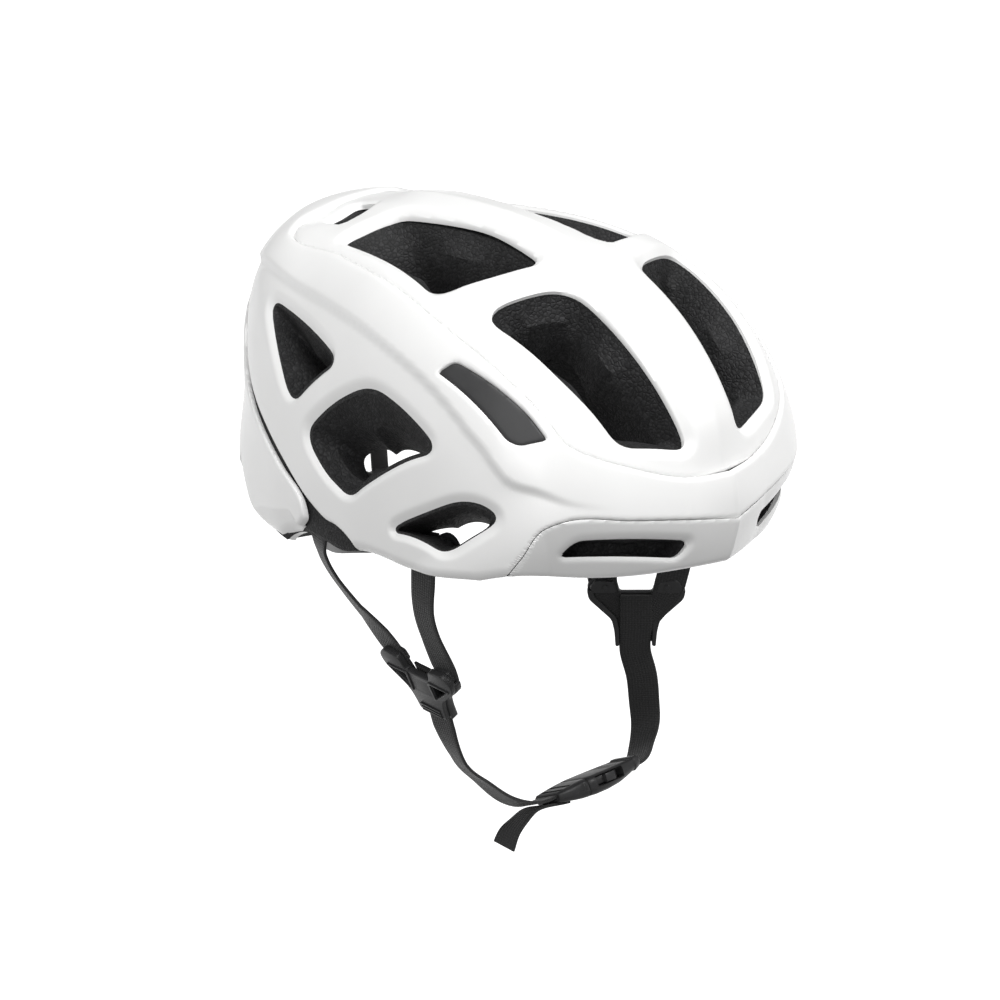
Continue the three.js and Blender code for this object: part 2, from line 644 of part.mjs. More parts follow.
// ---- fit system ----
function makeFitSystem() {
  const { y, z, halfLong, halfTall, dialRadius } = FIT;
  const parts = {};
  const inner = solid(box([-halfLong, y - 2, z - halfTall], [halfLong, y + 7, z + halfTall]));
  const hollow = solid(box([-halfLong + 2, y + 0.4, z - 9.5], [halfLong - 2, y + 8, z + 9.5]));
  const mouths = solid(box([-halfLong - 1, y + 0.4, z - 8.6], [halfLong + 1, y + 4.6, z + 8.6]));
  parts.cradle_housing = cutAll(inner, [hollow, mouths]);
  const cover = solid(box([-halfLong, y + 7.3, z - halfTall], [halfLong, y + 9.3, z + halfTall]));
  parts.cradle_cover = cover.subtract(solid(bar("y", 2.8, y + 6, y + 11, [0, 0, z], 16)));
  parts.nape_pad = solid(box([-halfLong + 3, y - 6.5, z - 9], [halfLong - 3, y - 2.3, z + 9]));

  for (const [name, side] of [["fit_rack_left", 1], ["fit_rack_right", -1]]) {
    const front = side > 0 ? y + 0.8 : y + 0.8 + RACK.thick + GAP;
    parts[name] = rack(side, front);
  }
  parts.adjuster_pinion = pinion(y + 0.7, y + 4.4);
  const knob = [];
  const flutes = 12;
  for (let i = 0; i < flutes * 4; i++) {
    const turn = (i / (flutes * 4)) * Math.PI * 2;
    const reach = dialRadius - 0.5 + 0.5 * Math.cos(turn * flutes);
    knob.push(new THREE.Vector2(reach * Math.cos(turn), reach * Math.sin(turn)));
  }
  const dial = new THREE.ExtrudeGeometry(new THREE.Shape(knob), { depth: 9, bevelEnabled: false });
  dial.rotateX(-Math.PI / 2).translate(0, y + 9.7, z);
  const shaft = bar("y", 2.3, y + 4.8, y + 10.7, [0, 0, z], 12);
  parts.adjuster_dial = solid(dial).add(solid(shaft));
  return parts;
}

// One toothed strip: its slot has teeth along the top edge on the left and the bottom edge on the right.
function rack(side, front) {
  const { z } = FIT;
  const { inner, outer, halfTall, thick, slotEnd } = RACK;
  const low = side > 0 ? inner : -outer;
  const high = side > 0 ? outer : -inner;
  const shape = new THREE.Shape();
  shape.moveTo(low, -halfTall);
  shape.lineTo(high, -halfTall);
  shape.lineTo(high, halfTall);
  shape.lineTo(low, halfTall);
  const pitch = (2 * Math.PI * PINION.pitchRadius) / PINION.teeth;
  const clear = 5.2;
  const root = PINION.pitchRadius + 1;
  const tip = PINION.pitchRadius - 0.35;
  const teethEachSide = 5;
  const edge = [];
  for (let k = -teethEachSide; k <= teethEachSide; k++) {
    const middle = k * pitch;
    edge.push([middle - 0.75, root], [middle - 0.3, tip], [middle + 0.3, tip], [middle + 0.75, root]);
  }
  const start = [[-slotEnd, -clear], [slotEnd, -clear], [slotEnd, root]];
  const slot = [...start, ...edge.reverse(), [-slotEnd, root]];
  const flip = side > 0 ? 1 : -1;
  shape.holes.push(new THREE.Path(slot.map(([px, py]) => new THREE.Vector2(px, flip * py))));
  const geometry = new THREE.ExtrudeGeometry(shape, { depth: thick, bevelEnabled: false });
  return solid(geometry.rotateX(Math.PI / 2).translate(0, front + thick, z));
}

function pinion(from, to) {
  const points = [];
  for (let i = 0; i < PINION.teeth; i++) {
    const turn = (i / PINION.teeth) * Math.PI * 2;
    for (const [off, radius] of [[-0.16, 3.1], [-0.07, 4.5], [0.07, 4.5], [0.16, 3.1]]) {
      const angle = turn + off;
      points.push(new THREE.Vector2(radius * Math.cos(angle), radius * Math.sin(angle)));
    }
  }
  const geometry = new THREE.ExtrudeGeometry(new THREE.Shape(points), {
    depth: to - from,
    bevelEnabled: false,
  });
  return solid(geometry.rotateX(Math.PI / 2).translate(0, to, FIT.z));
}

// The flexible band from the nape round to its eyelet at the temple.
function makeBand(side) {
  const { y, z } = FIT;
  const depth = side > 0 ? y + 1.55 : y + 3.35;
  const route = [
    [side * (RACK.outer + GAP), depth, z], [side * 45, depth - 1.5, z], [side * 56, 68, z + 4],
    [side * 63, 54, z + 9], [side * 69, 36, z + 16], [side * 73, 12, z + 24],
    [side * (TEMPLE.x + 0.8), -12, TEMPLE.z - 2], [side * (TEMPLE.x + 0.8), -24, TEMPLE.z],
  ];
  const upright = [0, 0, 1];
  const strip = webbing(route, [upright, [0, 0.3, 1], [0, 0.2, 1], [0, 0, 1]], 16, 11, 1.6);
  const from = side > 0 ? TEMPLE.x : -TEMPLE.x - 1.6;
  const centre = [0, TEMPLE.y, TEMPLE.z];
  const eyelet = solid(bar("x", 7.5, from, from + 1.6, centre, 20));
  const hole = solid(bar("x", 2.7, from - 2, from + 4, centre, 12));
  return strip.add(eyelet).subtract(hole);
}

function makeTemplePin(side) {
  const centre = [0, TEMPLE.y, TEMPLE.z];
  const span = (near, far) => (side > 0 ? [near, far] : [-far, -near]);
  const head = solid(bar("x", 4.6, ...span(TEMPLE.x - 2, TEMPLE.x - GAP), centre, 16));
  const shaft = solid(bar("x", 2.4, ...span(TEMPLE.x - 1, 82), centre, 12));
  return head.add(shaft);
}

// A strip bent about the temple line, which slides through its guide as the cradle tilts.
function makeHanger() {
  const rings = [];
  const half = 5;
  for (let angle = -8.8; angle <= 16.5; angle += 2.8) {
    const [y0, z0] = templeArc(angle, HANGER_RADIUS - 0.8);
    const [y1, z1] = templeArc(angle, HANGER_RADIUS + 0.8);
    rings.push([[-half, y0, z0], [half, y0, z0], [half, y1, z1], [-half, y1, z1]]);
  }
  return solid(loft(rings.map((ring) => ring.map((p) => new THREE.Vector3(...p)))));
}

function makeHangerGuide() {
  const rings = [];
  const half = 5.4;
  for (let angle = 0; angle <= 18; angle += 3) {
    const [y0, z0] = templeArc(angle, HANGER_RADIUS - 1.2);
    const [y1, z1] = templeArc(angle, HANGER_RADIUS + 1.2);
    rings.push([[-half, y0, z0], [half, y0, z0], [half, y1, z1], [-half, y1, z1]]);
  }
  const slot = solid(loft(rings.map((ring) => ring.map((p) => new THREE.Vector3(...p)))));
  return guideBlock(0).subtract(slot);
}

// ---- assembly ----
const MATERIALS = {
  shell: { color: 0xf4f4f2, roughness: 0.35, metalness: 0 },
  foam: { color: 0x303031, roughness: 0.95, metalness: 0 },
  inlay: { color: 0x37373a, roughness: 0.6, metalness: 0 },
  webbing: { color: 0x1a1a1b, roughness: 0.9, metalness: 0 },
  plastic: { color: 0x29292b, roughness: 0.55, metalness: 0 },
  pad: { color: 0x202022, roughness: 1, metalness: 0 },
  rubber: { color: 0x1c1c1d, roughness: 0.8, metalness: 0 },
};

const helmet = new THREE.Group();

function place(name, shape, look) {
  const geometry = shape.isBufferGeometry ? shape : geometryFrom(shape);
  const mesh = new THREE.Mesh(geometry, new THREE.MeshStandardMaterial(MATERIALS[look]));
  mesh.name = name;
  helmet.add(mesh);
  return mesh;
}

const placeAll = (parts, look) => Object.entries(parts).forEach(([name, s]) => place(name, s, look));

placeAll(makeShells(), "shell");
place("foam_liner", makeLiner(), "foam");
placeAll({ inlay_left: makeInlay(INLAY), inlay_right: makeInlay(mirrored(INLAY)) }, "inlay");
for (const [name, corners] of Object.entries(PADS)) place(name, makePad(corners), "pad");
placeAll(makeStraps(), "webbing");
for (const which of ["right", "left"]) {
  const plate = place("divider_" + which, dividerPlate(), "plastic");
  plate.applyMatrix4(dividerFrame(DIVIDERS[which]));
}
for (const [where, slot] of Object.entries(STRAP_SLOTS)) {
  for (const [name, side] of [["left", 1], ["right", -1]]) {
    const top = slot.high - GAP;
    const low = [side * slot.x - 1.6, slot.y - 8.5, top - 3];
    const high = [side * slot.x + 1.6, slot.y + 8.5, top];
    place("strap_anchor_" + where + "_" + name, solid(box(low, high)), "plastic");
  }
}
placeAll(makeBuckle(), "plastic");
placeAll(makeFitSystem(), "plastic");
for (const [name, side] of [["left", 1], ["right", -1]]) {
  place("fit_band_" + name, makeBand(side), "plastic");
  place("temple_pin_" + name, makeTemplePin(side), "plastic");
}
place("height_hanger", makeHanger(), "plastic");
place("hanger_guide", makeHangerGuide(), "plastic");

export default helmet;
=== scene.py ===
"""A road cycling helmet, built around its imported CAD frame.

The shells are one smooth form, described as in the CAD: a direction from a centre below the crown is
a longitude (0 at the front, 90 at the crown, 180 at the back) and a latitude (0 on the middle plane),
in degrees, and the form is a distance along it. Work is in millimetres and meshes are in metres.
"""

import math

import bmesh
import bpy
import numpy as np
from mathutils import Matrix, Vector
from mathutils.kdtree import KDTree


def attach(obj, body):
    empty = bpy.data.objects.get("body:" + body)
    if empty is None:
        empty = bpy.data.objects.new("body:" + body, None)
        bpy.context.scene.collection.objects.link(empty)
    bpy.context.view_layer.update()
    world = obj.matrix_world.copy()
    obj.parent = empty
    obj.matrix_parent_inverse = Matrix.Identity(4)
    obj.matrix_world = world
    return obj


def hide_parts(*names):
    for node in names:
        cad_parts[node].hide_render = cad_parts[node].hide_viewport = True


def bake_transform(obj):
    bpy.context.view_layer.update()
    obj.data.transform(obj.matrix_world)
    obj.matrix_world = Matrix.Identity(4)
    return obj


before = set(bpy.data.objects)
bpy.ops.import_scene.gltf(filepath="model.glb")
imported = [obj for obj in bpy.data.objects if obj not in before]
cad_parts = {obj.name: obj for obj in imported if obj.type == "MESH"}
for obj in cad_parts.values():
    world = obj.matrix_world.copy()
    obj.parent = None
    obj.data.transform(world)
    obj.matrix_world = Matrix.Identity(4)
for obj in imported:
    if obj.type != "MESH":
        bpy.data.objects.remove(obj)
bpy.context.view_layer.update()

MM = 0.001
ROOT = "helmet"
MIRROR = np.array([-1.0, 1.0, 1.0])  # from the wearer's left to the right
WELD = 1e-6  # points closer than this are one

# ---- the outer form ----
CENTRE_Z = -45.0
HALF_WIDTH = 100.0
CAVITY = {"half": (78.0, 103.0, 113.0), "middle": (0.0, 3.0, -25.0)}


def natural_spline(xs, ys):
    """A smooth curve through points, for arrays."""
    xs, ys = np.asarray(xs, float), np.asarray(ys, float)
    n = len(xs)
    step = np.diff(xs)
    system = np.eye(n)
    turn = np.zeros(n)
    for i in range(1, n - 1):
        system[i, i - 1 : i + 2] = step[i - 1], 2 * (step[i - 1] + step[i]), step[i]
        turn[i] = 6 * ((ys[i + 1] - ys[i]) / step[i] - (ys[i] - ys[i - 1]) / step[i - 1])
    bend = np.linalg.solve(system, turn)

    def value(x):
        x = np.asarray(x, float)
        k = np.clip(np.searchsorted(xs, x) - 1, 0, n - 2)
        h = step[k]
        a, b = (xs[k + 1] - x) / h, (x - xs[k]) / h
        curve = (a**3 - a) * bend[k] + (b**3 - b) * bend[k + 1]
        return a * ys[k] + b * ys[k + 1] + curve * h * h / 6

    return value


profile = natural_spline(
    [0, 20, 40, 60, 80, 100, 120, 135, 150, 165, 180],
    [127, 142, 153, 158, 159, 163, 181, 197.5, 171, 154.5, 116],
)
squareness = natural_spline([0, 45, 90, 135, 180], [1.9, 3.0, 3.2, 2.2, 2.5])


def smooth(x, low, high):
    t = np.clip((np.asarray(x, float) - low) / (high - low), 0, 1)
    return t * t * (3 - 2 * t)


def band_inner(lon):
    return np.interp(
        lon,
        [31, 34, 41, 52, 68, 80, 95, 112, 127, 131],
        [0, 12, 22, 26, 27, 27, 24, 19, 12, 1],
    )


def form(lon, lat):
    """Distance of the plain outer form."""
    lon, lat = np.asarray(lon, float), np.abs(np.asarray(lat, float))
    side, middle = np.sin(np.radians(lat)), np.cos(np.radians(lat))
    power = squareness(lon)
    return ((side / HALF_WIDTH) ** power + (middle / profile(lon)) ** power) ** (-1 / power)


def directions(lon, lat):
    lon, lat = np.radians(lon), np.radians(lat)
    middle = np.cos(lat)
    return np.stack([np.sin(lat), -middle * np.cos(lon), middle * np.sin(lon)], axis=-1)


def at(lon, lat, radius):
    """Points in millimetres."""
    points = directions(lon, lat) * np.asarray(radius, float)[..., None]
    return points + np.array([0, 0, CENTRE_Z])


def cavity_radius(lon, lat):
    """Distance to the ellipsoid that the head sits in."""
    half = np.array(CAVITY["half"])
    middle = np.array(CAVITY["middle"])
    d = directions(lon, lat) / half
    o = (np.array([0, 0, CENTRE_Z]) - middle) / half
    a, b = (d * d).sum(-1), d @ o
    return (-b + np.sqrt(b * b - a * (o @ o - 1))) / a


# ---- the rim ----
rim_front = natural_spline([0, 22, 33, 43, 50], [15.5, 18, 21, 25, 26.5])
rim_back = natural_spline([0, 15, 25, 36, 47, 54], [158, 160, 163.5, 167, 168, 166])
rim_side = natural_spline(
    [0, 0.03, 0.07, 0.18, 0.42, 0.6, 0.74, 0.84, 0.91, 1],
    [50, 59, 65, 70.5, 73, 73, 70, 65, 60, 54],
)
INNER_RIM = {"front": 1.5, "side": 0.96, "back": 4.5}


def rim_grid(along, across, inner=0.0):
    """Longitude and latitude on a grid that fills the rim: along is 0 to 1, across is -1 to 1."""
    lat = across * rim_side(along) * (1 - inner * (1 - INNER_RIM["side"]))
    start = rim_front(np.abs(lat)) + inner * INNER_RIM["front"]
    end = rim_back(np.abs(lat)) - inner * INNER_RIM["back"]
    return start + along * (end - start), lat


# ---- outlines, on the wearer's left: vents have [longitude, latitude, rounding] corners ----
VENTS = {
    "front_top": [(75, 23, 5), (71, 7.5, 5), (56, 7, 3), (36.5, 6, 2.5), (41, 18, 3), (56, 21, 3)],
    "middle_top": [(115.5, 15.5, 1.5), (112, 7, 4), (92, 5, 4), (78, 6.5, 3), (80, 16, 4), (85, 24, 4)],
    "rear_top": [(123.5, 10.5, 1), (121.8, 4, 1), (117.2, 4, 1), (119, 11, 1)],
    "rear_side": [(128.5, 24, 2.5), (106.5, 36.5, 3.5), (125.5, 40.5, 4)],
    "middle_side": [
        (92, 40.5, 5), (65.5, 43.5, 4), (83, 54, 9), (102, 60.5, 6), (115.5, 55, 5), (122, 47, 5),
    ],
    "lower_side": [(67, 63, 3), (56.5, 54.5, 5), (48.5, 44.5, 5), (39.5, 40.5, 4), (40, 55, 4)],
    "brow": [(26.2, 33.5, 1.5), (28.6, 30, 2), (21.6, 8.5, 2), (18.9, 11, 1.5)],
    "exhaust": [(146, 4, 2), (145.5, 14, 3), (151, 17, 3), (153.5, 12, 2), (153, 4, 2)],
}
# How far the shell rolls in round each vent, in millimetres.
VENT_ROLL = {
    "front_top": 5.5, "middle_top": 4.5, "rear_top": 2.0, "rear_side": 5.5,
    "middle_side": 6.0, "lower_side": 5.5, "brow": 2.6, "exhaust": 5.0,
}
INLAY = [(74, 34, 1), (72, 31, 1), (54, 28.4, 2), (47.8, 28, 1), (50, 32.2, 1), (52.5, 33.4, 1)]
BROW_SEAM = [(23, 0), (25, 8), (28.5, 20), (33, 32), (33, 35), (29, 40), (24, 46), (18, 54)]
# Each seam or crease: a path over the form, and the points that close it on its positive side. main is
# the side shell's rear edge, rear the rear shell's front edge, band the raised band's lower edge, and
# facet the crease in the rear shell.
SEAMS = {
    "crown": (
        [
            (124.5, 0), (124.5, 3), (125, 7), (126.8, 10.5), (126.7, 12.5), (112, 19.5), (95, 24.5),
            (80, 27.5), (61, 27.5), (52, 26.5), (45, 25.5), (41, 22.5), (37, 17.5), (34, 12.5), (32, 7),
            (31, 0),
        ],
        [(31, -1), (124.5, -1)],
    ),
    "brow_band": (BROW_SEAM, [(0, 60), (0, -1)]),
    "main": (
        [
            (139.5, 0), (139.5, 10), (140, 20), (142.3, 26), (142.3, 32), (140.5, 39), (138, 47),
            (133, 58), (126, 64), (118, 66.5), (109, 69.5), (98, 74), (90, 82),
        ],
        [(0, 90), (0, -1)],
    ),
    "rear": (
        [
            (141.5, 0), (141.5, 10), (142, 20), (144.3, 26.5), (144.2, 33), (142.8, 40), (140.5, 48),
            (137, 58), (139.5, 60.3), (144, 60.5), (150, 59.5), (156, 58), (172, 62),
        ],
        [(190, 62), (190, -1)],
    ),
    "band": (
        [
            (131, 0), (135, 13), (127, 20), (110, 28), (99, 31.5), (91, 33.5), (73, 36), (55, 37), (45, 36),
            (41, 33), (36, 29), (32, 23), (27, 12), (24, 0),
        ],
        [(24, -1), (131, -1)],
    ),
    "facet": (
        [
            (160, 30), (164, 38), (166, 42), (161, 46.5), (156, 51), (147, 56),
        ],
        [(147, 90), (190, 90), (190, 30)],
    ),
}


def arcs(corners, steps=5):
    """A closed outline with its corners turned into arcs: each corner is (x, y, rounding)."""
    points = np.array([c[:2] for c in corners], float)
    out = []
    for i, (x, y, rounding) in enumerate(corners):
        here = np.array([x, y], float)
        ends = []
        for other in (points[i - 1], points[(i + 1) % len(points)]):
            gap = np.linalg.norm(other - here)
            ends.append(here + (other - here) * min(rounding, gap / 2 - 0.01) / gap)
        for t in np.linspace(0, 1, steps):
            out.append((1 - t) ** 2 * ends[0] + 2 * t * (1 - t) * here + t * t * ends[1])
    return out


def dense(outline, step=1.0):
    """A closed outline with points no further apart than a step, so that it follows the form."""
    out = []
    for a, b in zip(outline, np.roll(outline, -1, axis=0)):
        count = max(1, math.ceil(np.linalg.norm(b - a) / step))
        out += [a + (b - a) * k / count for k in range(count)]
    return np.array(out)


def rounded(corners):
    """An outline on the form with rounded corners."""
    return dense(np.array(arcs(corners, 7)))


def curved(path, step=1.0):
    """A smooth path of even points through the given ones."""
    path = np.array(path, float)
    reach = np.concatenate([[0], np.cumsum(np.linalg.norm(np.diff(path, axis=0), axis=1))])
    t = np.linspace(0, reach[-1], int(reach[-1] / step) + 2)
    ahead = np.gradient(path, reach, axis=0)
    k = np.clip(np.searchsorted(reach, t) - 1, 0, len(path) - 2)
    h = (reach[k + 1] - reach[k])[:, None]
    s = ((t - reach[k]) / h[:, 0])[:, None]
    a, b = path[k], path[k + 1]
    m, n = ahead[k] * h, ahead[k + 1] * h
    return (
        (2 * s**3 - 3 * s**2 + 1) * a + (s**3 - 2 * s**2 + s) * m
        + (3 * s**2 - 2 * s**3) * b + (s**3 - s**2) * n
    )


def on_form(outline):
    return at(outline[:, 0], outline[:, 1], form(outline[:, 0], outline[:, 1]))


def gap_to(points, path, closed):
    """Distance of each point from a path in space."""
    best = np.full(len(points), 1e9)
    count = len(path) if closed else len(path) - 1
    for i in range(count):
        a, b = path[i], path[(i + 1) % len(path)]
        run = b - a
        t = np.clip((points - a) @ run / max(run @ run, 1e-9), 0, 1)
        best = np.minimum(best, ((points - a - t[:, None] * run) ** 2).sum(1))
    return np.sqrt(best)


def inside(lon, lat, outline):
    """Which points lie in a closed outline of longitudes and latitudes."""
    hit = np.zeros(len(lon), bool)
    for (x0, y0), (x1, y1) in zip(outline, np.roll(outline, -1, axis=0)):
        if y0 == y1:
            continue
        crosses = ((y0 > lat) != (y1 > lat)) & (lon < (x1 - x0) * (lat - y0) / (y1 - y0) + x0)
        hit ^= crosses
    return hit


# ---- fields over the left half of the form ----
FINE = 1.35  # spacing of the shells' grid in millimetres
ROWS = int(400 / FINE)
HALF_COLUMNS = int(190 / FINE)


def signed(field_name, outline, closing=None):
    """Adds a field: signed distance in millimetres, positive inside the outline and its closing points."""
    gap = gap_to(PLACE, on_form(outline), closing is None)
    ring = outline if closing is None else np.vstack([outline, closing])
    FIELDS[field_name] = np.where(inside(FIELDS["lon"], FIELDS["lat"], ring), gap, -gap)


grid_along, grid_across = np.meshgrid(
    np.linspace(0, 1, ROWS + 1), np.linspace(0, 1, HALF_COLUMNS + 1), indexing="ij"
)
FIELDS = dict(zip(("lon", "lat"), (g.ravel() for g in rim_grid(grid_along, grid_across))))
FIELDS["form"] = form(FIELDS["lon"], FIELDS["lat"])
PLACE = at(FIELDS["lon"], FIELDS["lat"], FIELDS["form"])

rim_path = np.vstack(
    [
        np.stack(rim_grid(np.zeros(60), np.linspace(0, 1, 60)), 1),
        np.stack(rim_grid(np.linspace(0, 1, 240), np.ones(240)), 1)[1:],
        np.stack(rim_grid(np.ones(60), np.linspace(1, 0, 60)), 1)[1:],
    ]
)
FIELDS["rim"] = gap_to(PLACE, on_form(rim_path), False)
VENT_OUTLINES = {name: rounded(corners) for name, corners in VENTS.items()}
for name, outline in VENT_OUTLINES.items():
    signed(name, outline)
signed("inlay", rounded(INLAY))
for name, (path, closing) in SEAMS.items():
    signed(name, curved(path), closing)

def least(*values):
    return np.minimum.reduce(values)


def most(*values):
    return np.maximum.reduce(values)


ROLL_REACH = 0.93  # how far round a quarter circle a rolled edge goes, as a sine


def roll(gap, radius):
    """How far a rolled edge has dropped, at a distance inside it."""
    t = (1 - np.clip(gap / radius, 0, 1)) * ROLL_REACH
    return radius * (1 - np.sqrt(1 - t * t))


def chamfer(gap, width, drop, soft=0.35):
    """How far a flat edge has dropped, at a distance inside it."""
    return drop / width * soft * np.logaddexp(0, (width - gap) / soft)


EDGE_WIDTH, EDGE_DROP = 0.8, 0.62  # of a vent's flat edge, as shares of its roll


def vents_roll(f, names):
    """How far the shell has dropped at the nearest vent's edge."""
    return most(
        *(chamfer(-f[name], EDGE_WIDTH * VENT_ROLL[name], EDGE_DROP * VENT_ROLL[name]) for name in names)
    )


def outside_vents(f):
    return -most(*(f[name] for name in VENTS))


CHANNEL_DEPTH = 1.5
RIB = 5  # half the middle rib's width in degrees


def channel(lon, lat):
    """Depth of the channels beside the middle rib."""
    share = (lat - RIB) / np.maximum(band_inner(lon) - RIB, 1)
    bowl = np.where((share > 0) & (share < 1), np.sin(np.pi * np.clip(share, 0, 1)), 0)
    return CHANNEL_DEPTH * smooth(lon, 66, 112) * bowl


def brow_recess(lon, lat):
    """How far the brow falls back below its seam: a millimetre for each degree."""
    seam_lon, seam_lat = zip(*BROW_SEAM)
    return np.clip(np.interp(np.abs(lat), seam_lat, seam_lon) - lon, 0, 13)


TAIL_DEPTH = 3.4


def tail_sink(lon, lat):
    """How far the middle of the tail plate is lowered."""
    along = smooth(lon, 108, 122) * (1 - smooth(lon, 134, 146))
    return TAIL_DEPTH * along * (1 - smooth(np.abs(lat), 7, 19))


CREASE = {"half": 24, "height": 4.2}


def crease(f, start, end):
    """A low ridge with a crisp top on the middle plane."""
    tent = np.clip(1 - np.sin(np.radians(f["lat"])) * f["form"] / CREASE["half"], 0, 1)
    rise, fall = smooth(f["lon"], start - 8, start + 8), smooth(f["lon"], end - 6, end + 6)
    return CREASE["height"] * tent * rise * (1 - fall)


# ---- mesh tools ----
# Edges over these angles in degrees stay sharp.
SHARP = {"shell": 50, "strap": 60, "hardware": 40, "moved": 35, "carved": 32}


def material_of(obj, material):
    obj.data.materials.clear()
    obj.data.materials.append(material)


def linked(name, data):
    """A new object in the scene."""
    obj = bpy.data.objects.new(name, data)
    bpy.context.scene.collection.objects.link(obj)
    return obj


def new_object(name, points, faces, material, sharp=None):
    """A mesh object from points in millimetres."""
    mesh = bpy.data.meshes.new(name)
    mesh.from_pydata((np.asarray(points, float) * MM).tolist(), [], [list(map(int, f)) for f in faces])
    mesh.validate()
    obj = linked(name, mesh)
    mesh.materials.append(material)
    finish_shading(obj, sharp)
    return obj


def finish_shading(obj, sharp=None):
    """Smooth faces, with edges over an angle in degrees left sharp."""
    mesh = obj.data
    bm = bmesh.new()
    bm.from_mesh(mesh)
    bmesh.ops.recalc_face_normals(bm, faces=bm.faces)
    limit = math.radians(sharp or 180)
    for f in bm.faces:
        f.smooth = True
    for e in bm.edges:
        e.smooth = len(e.link_faces) != 2 or e.calc_face_angle(0) < limit
    bm.to_mesh(mesh)
    bm.free()


def apply_modifiers(obj):
    """Keeps the result of an object's modifiers as its mesh."""
    bpy.context.view_layer.update()
    evaluated = obj.evaluated_get(bpy.context.evaluated_depsgraph_get())
    mesh = bpy.data.meshes.new_from_object(evaluated)
    old = obj.data
    obj.modifiers.clear()
    obj.data = mesh
    mesh.name = obj.name
    bpy.data.meshes.remove(old)


def grid_quads(rows, columns):
    """The faces of a grid of points that are listed row by row."""
    quads = []
    for i in range(rows):
        for a in range(i * (columns + 1), i * (columns + 1) + columns):
            quads.append((a, a + 1, a + columns + 2, a + columns + 1))
    return quads


def tube_faces(rings, n):
    """The faces of a closed tube of rings of n points, ending with its two caps."""
    faces = []
    for k in range(rings - 1):
        for i in range(n):
            j = (i + 1) % n
            faces.append((k * n + i, k * n + j, (k + 1) * n + j, (k + 1) * n + i))
    return faces + [tuple(range(n))[::-1], tuple(range((rings - 1) * n, rings * n))]


def carved(obj, cutters):
    """Cuts pieces out of an object."""
    for cutter in cutters:
        modifier = obj.modifiers.new("cut", "BOOLEAN")
        modifier.operation = "DIFFERENCE"
        modifier.solver = "MANIFOLD"
        modifier.object = cutter
    apply_modifiers(obj)
    for cutter in cutters:
        bpy.data.objects.remove(cutter)
    finish_shading(obj, SHARP["carved"])
    return obj


half_quads = np.array(grid_quads(ROWS, HALF_COLUMNS))


def clip(value):
    """Cuts the half grid where value falls to zero. Returns the fields with the cut points, and faces."""
    keep = value > 0
    cuts = {}

    def cut(a, b):
        key = (min(a, b), max(a, b))
        return cuts.setdefault(key, len(value) + len(cuts))

    whole = keep[half_quads].all(1)
    faces = [tuple(q) for q in half_quads[whole].tolist()]
    mixed = keep[half_quads].any(1) & ~whole
    for q in half_quads[mixed].tolist():
        for tri in ((q[0], q[1], q[2]), (q[0], q[2], q[3])):
            ring = []
            for k in range(3):
                a, b = tri[k], tri[(k + 1) % 3]
                if keep[a]:
                    ring.append(a)
                if keep[a] != keep[b]:
                    ring.append(cut(a, b))
            if len(ring) >= 3:
                faces.append(tuple(ring))
    ends = np.array(list(cuts), int).reshape(-1, 2)
    low, high = ends[:, 0], ends[:, 1]
    t = value[low] / (value[low] - value[high])
    fields = {k: np.concatenate([v, v[low] + t * (v[high] - v[low])]) for k, v in FIELDS.items()}
    return fields, faces


def only_used(points, faces):
    """Drops the points that no face uses."""
    used = np.unique(np.concatenate([np.array(f) for f in faces]))
    index = np.full(len(points), -1)
    index[used] = np.arange(len(used))
    return points[used], [tuple(index[list(f)].tolist()) for f in faces]


def panel(name, value, height, depth, material, both=True):
    """A shell panel where value is positive, at a height over the form, with a depth or a rule for it."""
    f, faces = clip(value(FIELDS))
    radius = f["form"] + height(f)
    floor_radius = radius - (depth(f) if callable(depth) else depth)
    outer, inner = at(f["lon"], f["lat"], radius), at(f["lon"], f["lat"], floor_radius)
    count = len(outer)
    if both:
        # The mirror half shares the points on the middle plane.
        twin = np.where(np.abs(outer[:, 0]) < WELD, np.arange(count), np.arange(count) + count)
        outer, inner = np.vstack([outer, outer * MIRROR]), np.vstack([inner, inner * MIRROR])
        faces = faces + [tuple(twin[list(face)].tolist()[::-1]) for face in faces]
    edges = set()
    for face in faces:
        for a, b in zip(face, face[1:] + face[:1]):
            if (b, a) in edges:
                edges.remove((b, a))
            else:
                edges.add((a, b))
    total = len(outer)
    shell = faces + [tuple(i + total for i in face[::-1]) for face in faces]
    shell += [(b, a, a + total, b + total) for a, b in sorted(edges)]
    points, shell = only_used(np.vstack([outer, inner]), shell)
    return new_object(name, points, shell, material, SHARP["shell"])


# ---- materials ----
def grey(level):
    return (level, level, level)


def add(tree, kind, inputs=None, **settings):
    node = tree.nodes.new(kind)
    for key, value in settings.items():
        setattr(node, key, value)
    return feed(tree, node, inputs or {})


def feed(tree, node, inputs):
    """Gives a node's sockets their values or links."""
    for key, value in inputs.items():
        if isinstance(value, bpy.types.NodeSocket):
            tree.links.new(value, node.inputs[key])
        else:
            node.inputs[key].default_value = value
    return node


def material(name, base, roughness, **inputs):
    m = bpy.data.materials.new(name)
    m.use_nodes = True
    shader = m.node_tree.nodes["Principled BSDF"]
    inputs = {key.replace("_", " "): value for key, value in inputs.items()}
    feed(m.node_tree, shader, {"Base Color": (*base, 1), "Roughness": roughness, **inputs})
    return m, m.node_tree, shader


def texture(tree, kind, where, scale, detail=None, output="Fac", **settings):
    inputs = {"Vector": where, "Scale": scale, **({"Detail": detail} if detail else {})}
    return add(tree, "ShaderNodeTex" + kind, inputs, **settings).outputs[output]


